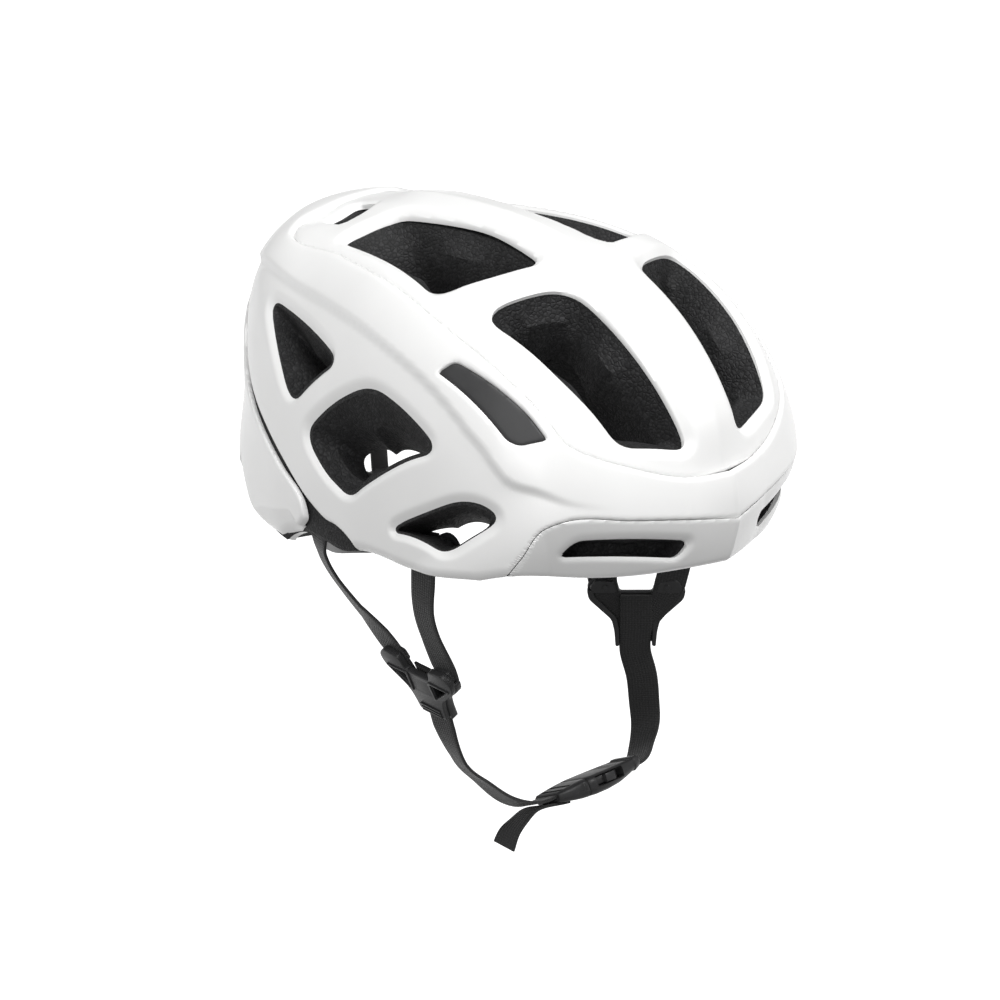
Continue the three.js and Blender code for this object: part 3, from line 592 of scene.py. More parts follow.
def spread(tree, value, low, high, source=(0.0, 1.0)):
    """A value mapped from one range to another."""
    ends = dict(zip(("From Min", "From Max", "To Min", "To Max"), (*source, low, high)))
    return add(tree, "ShaderNodeMapRange", {"Value": value, **ends}).outputs["Result"]


def maths(tree, operation, *values):
    return add(tree, "ShaderNodeMath", dict(enumerate(values)), operation=operation).outputs[0]


def ramp(tree, source, stops):
    """A colour ramp between two stops of (position, colour)."""
    node = add(tree, "ShaderNodeValToRGB", {"Fac": source})
    for element, (position, colour) in zip(node.color_ramp.elements, stops):
        element.position = position
        element.color = (*colour, 1)
    return node.outputs["Color"]


def bump(tree, shader, height, strength, distance, after=None):
    inputs = {"Height": height, "Strength": strength, "Distance": distance}
    if after is not None:
        inputs["Normal"] = after
    normal = add(tree, "ShaderNodeBump", inputs).outputs["Normal"]
    feed(tree, shader, {"Normal": normal})
    return normal


def object_coordinates(tree):
    return add(tree, "ShaderNodeTexCoord").outputs["Object"]


def shell_material():
    """White moulded shell: a satin clear coat with a faint waviness and handling marks."""
    m, tree, shader = material(
        "shell_white", (0.80, 0.80, 0.79), 0.36, Coat_Weight=0.25, Coat_Roughness=0.12
    )
    where = object_coordinates(tree)
    broad = texture(tree, "Noise", where, 22.0, 3.0)
    tone = ramp(tree, broad, [(0.3, (0.785, 0.785, 0.78)), (0.7, (0.82, 0.82, 0.815))])
    marks = texture(tree, "Noise", where, 140.0, 5.0)
    feed(tree, shader, {"Base Color": tone, "Roughness": spread(tree, marks, 0.30, 0.42)})
    bump(tree, shader, texture(tree, "Noise", where, 420.0, 1.0), 0.05, 0.0003)
    return m


BEADS = 520.0  # foam beads in a metre


def foam_material():
    """Charcoal expanded foam: pressed beads with darker joints."""
    m, tree, shader = material("foam_beads", (0.03, 0.03, 0.031), 0.7, Specular_IOR_Level=0.3)
    where = object_coordinates(tree)
    wobble = texture(tree, "Noise", where, 60.0, 2.0, "Color")
    shift = add(tree, "ShaderNodeVectorMath", {0: wobble}, operation="SCALE")
    feed(tree, shift, {"Scale": 0.0016})
    bent = add(tree, "ShaderNodeVectorMath", {0: where, 1: shift.outputs[0]}, operation="ADD").outputs[0]
    beads = texture(tree, "Voronoi", bent, BEADS, output="Distance", feature="DISTANCE_TO_EDGE")
    cells = texture(tree, "Voronoi", bent, BEADS, output="Color")
    joint = ramp(tree, beads, [(0.0, grey(0.55)), (0.14, grey(1))])
    tone = ramp(tree, cells, [(0.0, (0.014, 0.014, 0.0145)), (1.0, (0.034, 0.034, 0.035))])
    mixed = add(tree, "ShaderNodeMix", {"Factor": 1.0}, data_type="RGBA", blend_type="MULTIPLY")
    feed(tree, mixed, {"A": tone, "B": joint})
    feed(tree, shader, {"Base Color": mixed.outputs["Result"]})
    level = ramp(tree, beads, [(0.0, grey(0)), (0.25, grey(1))])
    bump(tree, shader, level, 0.5, 0.0006)
    return m


def moulded_material(name, base, roughness, grain, strength):
    """Moulded plastic with a fine spark grain and small differences in tone and gloss."""
    m, tree, shader = material(name, base, roughness)
    where = object_coordinates(tree)
    broad = texture(tree, "Noise", where, 90.0, 4.0)
    low, high = tuple(c * 0.85 for c in base), tuple(c * 1.2 for c in base)
    tone = ramp(tree, broad, [(0.3, low), (0.7, high)])
    gloss = spread(tree, broad, roughness - 0.06, roughness + 0.08)
    feed(tree, shader, {"Base Color": tone, "Roughness": gloss})
    bump(tree, shader, texture(tree, "Noise", where, grain, 2.0), strength, 0.0002)
    return m


def webbing_material():
    """Woven webbing: small raised diamonds in rows, with a plain selvedge."""
    m, tree, shader = material(
        "webbing_weave", (0.016, 0.016, 0.017), 0.62, Sheen_Weight=0.15, Sheen_Roughness=0.5
    )
    uv = add(tree, "ShaderNodeUVMap", uv_map="weave").outputs["UV"]
    x, y = add(tree, "ShaderNodeSeparateXYZ", {"Vector": uv}).outputs[:2]

    def wave(x_scale, y_scale):
        turned = maths(tree, "MULTIPLY_ADD", y, y_scale, maths(tree, "MULTIPLY", x, x_scale))
        return maths(tree, "SINE", turned)

    diamonds = maths(tree, "MULTIPLY", wave(2.6, 2.2), wave(2.6, -2.2))
    level = maths(tree, "MULTIPLY_ADD", wave(11.0, 0.0), 0.25, diamonds)
    height = spread(tree, level, 0.0, 1.0, (-1.2, 1.2))
    # The raised diamonds are the weave's real pattern; its low parts are painted darker than its tops, as
    # painted shade in its hollows.
    tone = ramp(tree, height, [(0.2, (0.003, 0.003, 0.0033)), (0.85, (0.016, 0.016, 0.0165))])
    feed(tree, shader, {"Base Color": tone})
    bump(tree, shader, height, 0.55, 0.0005)
    return m


def pad_material():
    """Soft brushed knit over foam."""
    m, tree, shader = material("pad_knit", (0.02, 0.02, 0.021), 0.85, Sheen_Weight=0.4, Sheen_Roughness=0.4)
    where = object_coordinates(tree)
    loops = texture(tree, "Voronoi", where, 900.0, output="Distance", feature="F1")
    fuzz = texture(tree, "Noise", where, 300.0, 6.0)
    tone = ramp(tree, fuzz, [(0.3, (0.011, 0.011, 0.012)), (0.7, (0.036, 0.036, 0.038))])
    feed(tree, shader, {"Base Color": tone})
    first = bump(tree, shader, loops, 0.5, 0.0006)
    bump(tree, shader, fuzz, 0.4, 0.001, first)
    return m


SHELL = shell_material()
FOAM = foam_material()
INSERT = moulded_material("insert_grey", (0.026, 0.026, 0.027), 0.5, 1500.0, 0.12)
PLASTIC = moulded_material("plastic_black", (0.021, 0.021, 0.022), 0.42, 1800.0, 0.15)
PLASTIC_LIGHT = moulded_material("plastic_grey", (0.032, 0.032, 0.033), 0.4, 1800.0, 0.15)
WEBBING = webbing_material()
PAD = pad_material()


def settle(piece, body, slot, *nodes):
    """Puts a piece on its body and hides the CAD nodes that it stands for. The finish, slot, is not used.
    """
    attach(piece, body)
    if nodes:
        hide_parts(*nodes)


def settle_between(piece, body, other, start, end, slot, *nodes):
    """For a strap between two bodies: puts its place into its mesh and hides the CAD nodes that it stands
    for. The other body, the two points in millimetres and the slot are not used.
    """
    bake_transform(piece)
    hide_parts(*nodes)


# ---- shells ----
SEAM = 0.15  # half the width of a seam between two shells
INSERT_GAP = 0.25  # round an insert
RIM_LIP = 5.0
BROW_LIP = 2.0
BAND_STEP = 2.6  # how far the side lies below its raised band
REAR_REACH = 0.9  # how far the rear shell comes past its line, towards the main one


def rear_edge(f):
    return f["rear"] + REAR_REACH


def crown_height(f):
    drop = most(vents_roll(f, ["front_top", "middle_top", "rear_top"]), roll(f["crown"] - SEAM, 0.8))
    step = 1.6 * (1 - smooth(f["crown"], 2, 24))
    sunk = channel(f["lon"], f["lat"]) + tail_sink(f["lon"], f["lat"])
    return crease(f, 34, 118) - sunk - step - drop


def side_height(f):
    drop = most(
        vents_roll(f, ["rear_side", "middle_side", "lower_side"]),
        roll(-f["crown"] - SEAM, 2.2),
        roll(-f["brow_band"] - SEAM, 1.0),
        roll(f["main"], 1.6),
        roll(f["rim"], RIM_LIP),
        roll(-f["inlay"], 1.2),
    )
    below_band = np.clip(-f["band"] / 2.2, 0, 1) * smooth(f["lon"], 30, 46)
    sunk = tail_sink(f["lon"], f["lat"]) + BAND_STEP * below_band
    return crease(f, 22, 40) - sunk - drop


def side_depth(f):
    """The tail plate's front edge is a wall that reaches down into the channels."""
    return 2.4 + 3.6 * smooth(f["lon"], 112, 121) * (1 - smooth(-f["crown"], 1, 7))


def brow_height(f):
    drop = most(
        vents_roll(f, ["brow"]), roll(f["rim"], BROW_LIP), roll(f["brow_band"] - SEAM, 0.6)
    )
    return crease(f, 10, 40) - 0.5 - brow_recess(f["lon"], f["lat"]) - drop


def rear_height(f):
    drop = most(vents_roll(f, ["exhaust"]), roll(f["rim"], RIM_LIP), roll(rear_edge(f), 1.6))
    tilt = 0.32 * np.clip(f["facet"], 0, 30) * smooth(f["lon"], 140, 147)
    return crease(f, 130, 190) * 0.6 - 0.6 - tilt - drop


def insert_height(f):
    return -0.9 - roll(f["inlay"] - INSERT_GAP, 0.8)


PANELS = {
    "crown_panel": (
        "crown_shell", lambda f: least(f["crown"] - SEAM, outside_vents(f)), crown_height, 2.2,
    ),
    "side_panel": (
        "side_shell",
        lambda f: least(
            -f["crown"] - SEAM, -f["brow_band"] - SEAM, f["main"], outside_vents(f), -f["inlay"],
            f["rim"],
        ),
        side_height,
        side_depth,
    ),
    "brow_panel": (
        "brow_shell",
        lambda f: least(f["brow_band"] - SEAM, outside_vents(f), f["rim"]),
        brow_height,
        2.4,
    ),
    "rear_panel": (
        "rear_shell", lambda f: least(rear_edge(f), outside_vents(f), f["rim"]), rear_height, 2.2,
    ),
}
for name, (node, value, height, depth) in PANELS.items():
    settle(panel(name, value, height, depth, SHELL), ROOT, "shell", node)

for side_name in ("left", "right"):
    insert = panel(
        "insert_" + side_name, lambda f: f["inlay"] - INSERT_GAP, insert_height, 1.6, INSERT, False
    )
    if side_name == "right":
        insert.data.transform(Matrix.Diagonal((-1, 1, 1, 1)))
        finish_shading(insert, SHARP["shell"])
    settle(insert, ROOT, "inlay", "inlay_" + side_name)


# ---- foam liner ----
FOAM_DEPTH = 5.0  # of the foam's outside under the plain form
BARE_DEPTH = 4.0  # the same where the foam shows under the rear of the side shell


def foam_depth(lon, lat):
    """How far the foam's outside lies under the plain form."""
    k = np.abs(np.asarray(lat, float))
    sunk = channel(lon, k) * (1 - smooth(lon, 121, 126))
    in_gap = smooth(lon, 136, 139) * (1 - smooth(lon, 143, 150)) * (1 - smooth(k, 50, 56))
    return FOAM_DEPTH + sunk + tail_sink(lon, k) + brow_recess(lon, k) - 0.9 * in_gap


def foam_body():
    rows, columns = 130, 110
    u, v = np.meshgrid(np.linspace(0, 1, rows + 1), np.linspace(-1, 1, columns + 1), indexing="ij")
    lon, lat = rim_grid(u, v)
    edge = least(u * rows, (1 - u) * rows, (1 - np.abs(v)) * columns / 2)
    depth = foam_depth(lon, lat)
    bare = smooth(lon, 98, 106) * smooth(np.abs(lat), 60.5, 64) * (1 - smooth(lon, 148, 154))
    depth = depth + (BARE_DEPTH - depth) * bare
    depth = depth + 1.6 * (1 - np.clip(edge / 1.5, 0, 1)) ** 2
    layers = []
    for t in (0.0, 0.04, 0.5, 0.96, 1.0):
        inner_lon, inner_lat = rim_grid(u, v, t)
        outer = form(inner_lon, inner_lat) - depth
        inner = cavity_radius(inner_lon, inner_lat)
        layers.append(at(inner_lon, inner_lat, outer + t * (inner - outer)))
    row_count = columns + 1
    size = (rows + 1) * row_count
    points = [layers[0].reshape(-1, 3), layers[-1].reshape(-1, 3)]
    faces = []
    for a, b, c, d in grid_quads(rows, columns):
        faces += [(a, b, c, d), (size + a, size + d, size + c, size + b)]
    ring = [(0, j) for j in range(columns)]
    ring += [(i, columns) for i in range(rows)]
    ring += [(rows, j) for j in range(columns, 0, -1)]
    ring += [(i, 0) for i in range(rows, 0, -1)]
    ids = [i * row_count + j for i, j in ring]
    stack = [ids]
    offset = 2 * size
    for layer in layers[1:-1]:
        points.append(np.array([layer[i, j] for i, j in ring]))
        stack.append([offset + k for k in range(len(ring))])
        offset += len(ring)
    stack.append([size + k for k in ids])
    for low, high in zip(stack, stack[1:]):
        for k in range(len(ring)):
            m = (k + 1) % len(ring)
            faces.append((low[m], low[k], high[k], high[m]))
    return new_object("foam_body", np.vstack(points), faces, FOAM)


def shrink(outline, by):
    middle = outline.mean(0)
    away = outline - middle
    reach = np.linalg.norm(away, axis=1, keepdims=True)
    return middle + away * np.clip(1 - by / reach, 0.05, 1)


# How far each stage of a vent is from the outer form, and how much it has narrowed, in degrees.
VENT_STAGES = ((-12, -0.2), (4, 0.0), (6, 0.2), (15, 3.0), (27, 3.4), (150, 3.8))
BROW_POCKET = 20.0  # the brow slots end behind the brow pad
# Each vent's share of that narrowing, where it isn't 1.
NARROWING = {
    "middle_side": 1.5, "brow": 0.25, "rear_top": 0.3, "lower_side": 0.6, "rear_side": 0.75,
    "exhaust": 0.5,
}


def vent_cutter(name, outline, mirror):
    rings = []
    share = NARROWING.get(name, 1.0)
    for depth, narrow in VENT_STAGES:
        if name == "brow":
            depth = min(depth, BROW_POCKET)
        ring = shrink(outline, narrow * share)
        radius = form(ring[:, 0], ring[:, 1])
        radius = np.maximum(radius - depth, radius * 0.35)
        points = at(ring[:, 0], ring[:, 1], radius)
        rings.append(points * MIRROR if mirror else points)
    return new_object("cutter", np.vstack(rings), tube_faces(len(rings), len(outline)), FOAM)


foam = foam_body()
foam_cutters = []
for vent, outline in VENT_OUTLINES.items():
    foam_cutters += [vent_cutter(vent, outline, mirror) for mirror in (False, True)]
settle(carved(foam, foam_cutters), ROOT, "foam", "foam_liner")

# ---- ribbons and plates ----
def through(route, count):
    """Even points on a smooth curve through a few, and the share of the way to each given point."""
    route = np.array(route, float)
    knots = np.concatenate([[0], np.cumsum(np.linalg.norm(np.diff(route, axis=0), axis=1) ** 0.5)])
    curves = [natural_spline(knots, route[:, k]) for k in range(3)]
    fine = np.linspace(0, knots[-1], 400)
    points = np.stack([c(fine) for c in curves], 1)
    reach = np.concatenate([[0], np.cumsum(np.linalg.norm(np.diff(points, axis=0), axis=1))])
    t = np.interp(np.linspace(0, reach[-1], count), reach, fine)
    return np.stack([c(t) for c in curves], 1), reach[-1]


# Half of a strap's section: places across it, and how thick it is there, as shares.
SECTION = [(-0.5, 0.0), (-0.485, 0.36), (-0.45, 0.5), (-0.3, 0.44), (-0.1, 0.46), (0.1, 0.46),
           (0.3, 0.44), (0.45, 0.5), (0.485, 0.36), (0.5, 0.0)]
SECTION += [(a, -b) for a, b in SECTION[-2:0:-1]]


STRAP_THICK = 1.5
STRAP_STEP = 1.5


def ribbon(name, route, widths, width=15.0, taper=None):
    """A strap along a route in millimetres. widths are directions across it, spread along it."""
    length = through(route, 3)[1]
    count = max(8, int(length / STRAP_STEP))
    centre = through(route, count + 1)[0]
    ahead = np.gradient(centre, axis=0)
    ahead /= np.linalg.norm(ahead, axis=1, keepdims=True)
    share = np.linspace(0, 1, count + 1)
    given = np.linspace(0, 1, len(widths))
    across = np.stack([np.interp(share, given, np.array(widths, float)[:, k]) for k in range(3)], 1)
    across -= (across * ahead).sum(1, keepdims=True) * ahead
    across /= np.linalg.norm(across, axis=1, keepdims=True)
    out = np.cross(ahead, across)
    scale = np.interp(share, *taper) if taper else np.ones(count + 1)
    lines = [
        centre + across * (a * width * scale)[:, None] + out * (b * STRAP_THICK) for a, b in SECTION
    ]
    points = np.stack(lines, 1).reshape(-1, 3)
    n = len(SECTION)
    faces = tube_faces(count + 1, n)
    uvs = []
    for face in faces:
        is_side = len(face) < n
        uvs += [(is_side * share[i // n] * length, SECTION[i % n][0] * width) for i in face]
    mesh = bpy.data.meshes.new(name)
    mesh.from_pydata((points * MM).tolist(), [], faces)
    mesh.uv_layers.new(name="weave").data.foreach_set("uv", np.array(uvs, float).ravel())
    obj = linked(name, mesh)
    mesh.materials.append(WEBBING)
    finish_shading(obj, SHARP["strap"])
    return obj


def circle(radius, x, y, sides=20):
    turn = np.linspace(0, 2 * np.pi, sides, endpoint=False)
    return np.stack([x + radius * np.cos(turn), y + radius * np.sin(turn)], 1)


def plate(name, loops, low, high, edge, placed):
    """A moulded plate with rounded edges: outlines in its own plane, from one height to another."""
    curve = bpy.data.curves.new(name, "CURVE")
    curve.dimensions = "2D"
    curve.fill_mode = "BOTH"
    curve.extrude = ((high - low) / 2 - edge) * MM
    curve.bevel_depth = edge * MM
    curve.bevel_resolution = 2
    curve.offset = -edge * MM
    for loop in loops:
        spline = curve.splines.new("POLY")
        spline.points.add(len(loop) - 1)
        for point, (x, y) in zip(spline.points, loop):
            point.co = (x * MM, y * MM, 0, 1)
        spline.use_cyclic_u = True
    shape = linked("outline", curve)
    bpy.context.view_layer.update()
    mesh = bpy.data.meshes.new_from_object(shape.evaluated_get(bpy.context.evaluated_depsgraph_get()))
    bpy.data.objects.remove(shape)
    mesh.name = name
    mesh.transform(Matrix.Translation((0, 0, (low + high) / 2 * MM)))
    mesh.transform(placed)
    bm = bmesh.new()
    bm.from_mesh(mesh)
    bmesh.ops.remove_doubles(bm, verts=bm.verts, dist=WELD)
    bmesh.ops.triangulate(bm, faces=[f for f in bm.faces if len(f.verts) > 4])
    bm.to_mesh(mesh)
    bm.free()
    obj = linked(name, mesh)
    material_of(obj, PLASTIC)
    finish_shading(obj, SHARP["hardware"])
    return obj


def join(name, *objects):
    """One object from several."""
    first = objects[0]
    with bpy.context.temp_override(active_object=first, selected_editable_objects=list(objects)):
        bpy.ops.object.join()
    first.name = first.data.name = name
    return first


def detailed(node, width, look):
    """A copy of a CAD node with its edges rounded, in place of it."""
    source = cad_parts[node]
    bm = bmesh.new()
    bm.from_mesh(source.data)
    bm.transform(source.matrix_world)
    bmesh.ops.remove_doubles(bm, verts=bm.verts, dist=WELD)
    bmesh.ops.dissolve_limit(bm, angle_limit=math.radians(2), verts=bm.verts, edges=bm.edges)
    mesh = bpy.data.meshes.new(node + "_piece")
    bm.to_mesh(mesh)
    bm.free()
    obj = linked(node + "_piece", mesh)
    material_of(obj, look)
    bevel = obj.modifiers.new("edges", "BEVEL")
    bevel.width = width * MM
    bevel.segments = 2
    bevel.limit_method = "ANGLE"
    bevel.angle_limit = math.radians(30)
    apply_modifiers(obj)
    finish_shading(obj, SHARP["hardware"])
    return obj


# ---- straps and dividers ----
BUCKLE = {"y": -18.5, "z": -161.0, "tilt": math.radians(-25)}
AT_BUCKLE = (0, -math.cos(BUCKLE["tilt"]), -math.sin(BUCKLE["tilt"]))
LENGTHWISE = (0, -1, 0)
# Each divider: its middle, its downward and width directions, and which of its faces is towards the head.
DIVIDERS = {
    "right": {"middle": (-73, -14, -83), "down": (0.45, 0.05, -0.89), "across": (0, -1, -0.05), "head": -1},
    "left": {"middle": (70, -7, -88), "down": (0.02, 0.02, -1), "across": (0.72, -0.69, 0), "head": 1},
}


def divider_frame(which):
    data = DIVIDERS[which]
    y = -Vector(data["down"]).normalized()
    x = Vector(data["across"])
    x = (x - y * x.dot(y)).normalized()
    turned = Matrix((x, y, x.cross(y))).transposed().to_4x4()
    return Matrix.Translation(Vector(data["middle"]) * MM) @ turned


def on_divider(which, x, y, z=0.0):
    return tuple(divider_frame(which) @ (Vector((x, y, z)) * MM) / MM)


def under(along, below, drop=0.0):
    """A point under the buckle's middle."""
    tilt = BUCKLE["tilt"]
    return (
        along,
        BUCKLE["y"] + below * math.sin(tilt),
        BUCKLE["z"] - below * math.cos(tilt) - drop,
    )


def both_sides(half):
    """A closed outline from its right half, listed from the top down."""
    return [(-x, y, r) for x, y, r in half] + list(reversed(half))


DIVIDER_HALF = [
    (7.6, 8.8, 1.2), (9.6, 15.6, 1.6), (19.4, 17.0, 2.4), (23.4, 12.2, 2.5), (22.2, 6.4, 2.4),
    (11.0, -4.0, 3.0), (9.4, -10, 2.0), (8.6, -17.0, 1.4),
]
# The raised edge of a divider's right half, on the side of the head.
RAIL = [
    (23.4, 11.0, 1.2), (20.6, 11.0, 1.0), (19.4, 7.4, 1.0), (9.0, -3.4, 1.4), (7.9, -9.0, 1.0),
    (7.7, -18.0, 0.8), (9.6, -18.4, 1.0), (10.2, -10.4, 2.0), (11.6, -4.4, 2.0), (22.6, 6.2, 2.0),
]
WINDOW = [(8.2, 6.4, 0.8), (18.8, 6.6, 0.8), (8.2, -2.6, 0.8)]


def window(sign, grow):
    """A window's outline, or a larger one round it."""
    middle = np.array([11.4, 3.6])
    out = []
    for x, y, rounding in WINDOW:
        point = np.array([x, y])
        point = point + (point - middle) / np.linalg.norm(point - middle) * grow
        out.append((sign * point[0], point[1], rounding + grow * 0.4))
    return arcs(out if sign > 0 else out[::-1])


def make_divider(which):
    """A moulded strap divider: a funnel plate with two rimmed windows, a tab on each arm and a collar."""
    placed = divider_frame(which)
    head = DIVIDERS[which]["head"]

    def spans(low, high):
        return sorted((head * low, head * high))

    outlines = [arcs(both_sides(DIVIDER_HALF)), window(1, 0), window(-1, 0)]
    pieces = [plate("body", outlines, -1.7, 1.7, 0.5, placed)]
    for sign in (1, -1):
        rim = [window(sign, 2.6), window(sign, 0.5)]
        pieces.append(plate("rim", rim, *spans(-2.3, -1.2), 0.3, placed))
        corners = [(9.2, 9.6), (10.6, 15.2), (19.2, 16.2), (22.2, 12.0), (20.4, 9.2)]
        tab = arcs([(sign * x, y, 1.4) for x, y in (corners if sign > 0 else corners[::-1])])
        pieces.append(plate("tab", [tab], *spans(1.2, 4.9), 0.7, placed))
        catch = circle(1.5, sign * 14.6, 12.4)
        pieces.append(plate("catch", [catch], *spans(4.4, 5.5), 0.25, placed))
        rail = RAIL if sign > 0 else [(-x, y, r) for x, y, r in reversed(RAIL)]
        pieces.append(plate("rail", [arcs(rail)], *spans(0.8, 4.6), 0.6, placed))
    for y in (-12.2, -14.2, -16.0):
        rib = arcs([(-6.5, y - 0.5, 0.4), (6.5, y - 0.5, 0.4), (6.5, y + 0.5, 0.4), (-6.5, y + 0.5, 0.4)])
        pieces.append(plate("rib", [rib], *spans(-2.3, -1.4), 0.2, placed))
    divider = join("divider_piece_" + which, *pieces)
    settle(divider, "divider_" + which, "plastic", "divider_" + which)


def branch(which, sign, layer, route, widths):
    """An upper strap, which goes on over its divider's inner face and narrows into the funnel."""
    head = DIVIDERS[which]["head"]
    lift = head * (2.5 + 1.5 * layer)
    route = list(route) + [
        on_divider(which, sign * 15.4, 12.5, lift), on_divider(which, sign * 12.0, 5.0, lift),
        on_divider(which, sign * 7.6, -2.5, lift), on_divider(which, sign * 4.4, -9.0, lift * 0.9),
    ]
    frame_of = divider_frame(which).to_3x3()
    tilted = tuple(frame_of @ Vector((0.86, sign * -0.5, 0)))
    level = tuple(frame_of @ Vector((1, 0, 0)))
    narrowing = ([0, 0.72, 1], [1, 1, 0.5])
    return ribbon("webbing", route, list(widths) + [tilted, tilted, level], taper=narrowing)


UPPER = {
    ("front", "right"): ([(-84, -25, -11), (-84, -25, -26), (-82.5, -25, -46)],
                         [LENGTHWISE, LENGTHWISE, (-0.1, -1, 0), (-0.1, -0.95, 0.1)], 1, 1),
    ("rear", "right"): ([(-83, 44, -15), (-83, 44, -30), (-80, 31, -48)],
                        [LENGTHWISE, (-0.45, -0.85, 0.2), (-0.5, -0.8, 0.3), (-0.35, -0.9, 0.1)], -1, 0),
    ("front", "left"): ([(84, -25, -11), (84, -25, -26), (84, -23, -46)],
                        [LENGTHWISE, LENGTHWISE, (0.4, -0.9, 0), (0.6, -0.8, 0)], 1, 1),
    ("rear", "left"): ([(83, 44, -15), (83, 44, -30), (74, 24, -50)],
                       [LENGTHWISE, (0.1, -0.98, 0.1), (0.3, -0.8, 0.2), (0.55, -0.75, 0.1)], -1, 0),
}
for (where, which), (route, widths, sign, layer) in UPPER.items():
    strap = branch(which, sign, layer, route, widths)
    node = f"strap_{where}_{which}"
    strap.name = strap.data.name = "webbing_" + node
    settle_between(
        strap, ROOT, "divider_" + which, route[0], on_divider(which, sign * 15, 18), "webbing", node
    )

for which in ("right", "left"):
    make_divider(which)


# ---- chin straps ----
def chin_strap(which, rest, widths):
    """From the divider's inner face down to the buckle."""
    lift = DIVIDERS[which]["head"] * 4.3
    top = [on_divider(which, 0, y, lift * share) for y, share in ((8.4, 1), (0, 1), (-10, 0.9), (-22, 0.3))]
    flat = tuple(divider_frame(which).to_3x3() @ Vector((1, 0, 0)))
    return ribbon("chin_webbing_" + which, top + rest, [flat, flat, flat] + widths)


STRAP_JOIN = (-41.8, -17, -138.3)
chin_right = chin_strap(
    "right",
    [(-54.6, -16.5, -124.4), STRAP_JOIN, (-28.1, -18, -151.1), (-10.5, -18.5, -160.2), under(3.6, -0.4)],
    [(-0.3, -0.93, 0.15), (-0.28, -0.9, 0.3), (-0.2, -0.9, 0.4), AT_BUCKLE, AT_BUCKLE],
)


def halves(strap, place, along):
    """Cuts a strap across, into the part before a place and the part after it."""
    parts = []
    for share, after in (("upper", False), ("lower", True)):
        bm = bmesh.new()
        bm.from_mesh(strap.data)
        cut = bmesh.ops.bisect_plane(
            bm, geom=bm.verts[:] + bm.edges[:] + bm.faces[:], plane_co=Vector(place) * MM,
            plane_no=Vector(along), clear_outer=not after, clear_inner=after,
        )
        rim = [e for e in cut["geom_cut"] if isinstance(e, bmesh.types.BMEdge)]
        bmesh.ops.contextual_create(bm, geom=rim)
        part = strap.copy()
        part.data = strap.data.copy()
        part.name = part.data.name = f"{strap.name}_{share}"
        bm.to_mesh(part.data)
        bm.free()
        bpy.context.scene.collection.objects.link(part)
        parts.append(part)
    bpy.data.objects.remove(strap)
    return parts


chin_upper, chin_lower = halves(chin_right, STRAP_JOIN, (0.72, 0, -0.69))
settle_between(
    chin_upper, "divider_right", ROOT, on_divider("right", 0, -22), STRAP_JOIN, "webbing",
    "chin_strap_right",
)
settle_between(
    chin_lower, ROOT, "buckle_male", STRAP_JOIN, under(-6, 0), "webbing", "chin_strap_right"
)
LEFT_BEND = (74.9, -9.5, -149.1)
chin_left = chin_strap(
    "left",
    [(72.7, -8.5, -122.1), (75.1, -8.5, -137.9), LEFT_BEND, (68.7, -13, -157.6), under(59.2, 0, -0.4),
     under(49, 0.4)],
    [(0.68, -0.72, 0.05), (0.62, -0.76, 0.1), (0.5, -0.84, 0.15), (0.2, -0.93, 0.3), AT_BUCKLE, AT_BUCKLE],
)
settle_between(
    chin_left, "divider_left", ROOT, on_divider("left", 0, -22), LEFT_BEND, "webbing",
    "chin_strap_left",
)

tail = ribbon(
    "tail_webbing",
    [under(8, 4.6), under(0, 3.4), (-10.4, -18.5, -163.3), (-17.6, -18.5, -166), (-23.6, -18, -170.5),
     (-26.5, -17, -177.2)],
    [AT_BUCKLE, AT_BUCKLE, (0, -0.93, 0.36), (0.05, -0.95, 0.3), (0.16, -0.96, 0.2), (0.25, -0.95, 0.1)],
    width=12.0,
)
settle(tail, "buckle_male", "webbing", "strap_tail")


# ---- buckle ----
BUCKLE_PLACE = (
    Matrix.Translation(Vector((0, BUCKLE["y"], BUCKLE["z"])) * MM) @ Matrix.Rotation(BUCKLE["tilt"], 4, "X")
)


def loft(name, stations, look, corner):
    """A moulded body along X: each station is x, half its width, and its lower and upper height."""
    ring = [(k * np.pi / 2 + t, k) for k in range(4) for t in np.linspace(0, np.pi / 2, 8)]
    points = []
    for x, half, low, high in stations:
        tall = (high - low) / 2
        r = corner * 2 * min(half, tall)
        for angle, k in ring:
            y = (half - r) * (1 if k in (0, 3) else -1) + r * math.cos(angle)
            z = (low + high) / 2 + (tall - r) * (1 if k in (0, 1) else -1) + r * math.sin(angle)
            points.append((x, y, z))
    return new_object(name, points, tube_faces(len(stations), len(ring)), look, SHARP["hardware"])


def block(low, high, rounding=0.5):
    """A cutting block with rounded upright edges."""
    (x0, y0, z0), (x1, y1, z1) = low, high
    outline = arcs([(x, y, rounding) for x, y in ((x0, y0), (x1, y0), (x1, y1), (x0, y1))])
    points = [(x, y, z) for z in (z0, z1) for x, y in outline]
    return new_object("cutter", points, tube_faces(2, len(outline)), PLASTIC)


def moved(obj, matrix):
    obj.data.transform(matrix)
    finish_shading(obj, SHARP["moved"])
    return obj


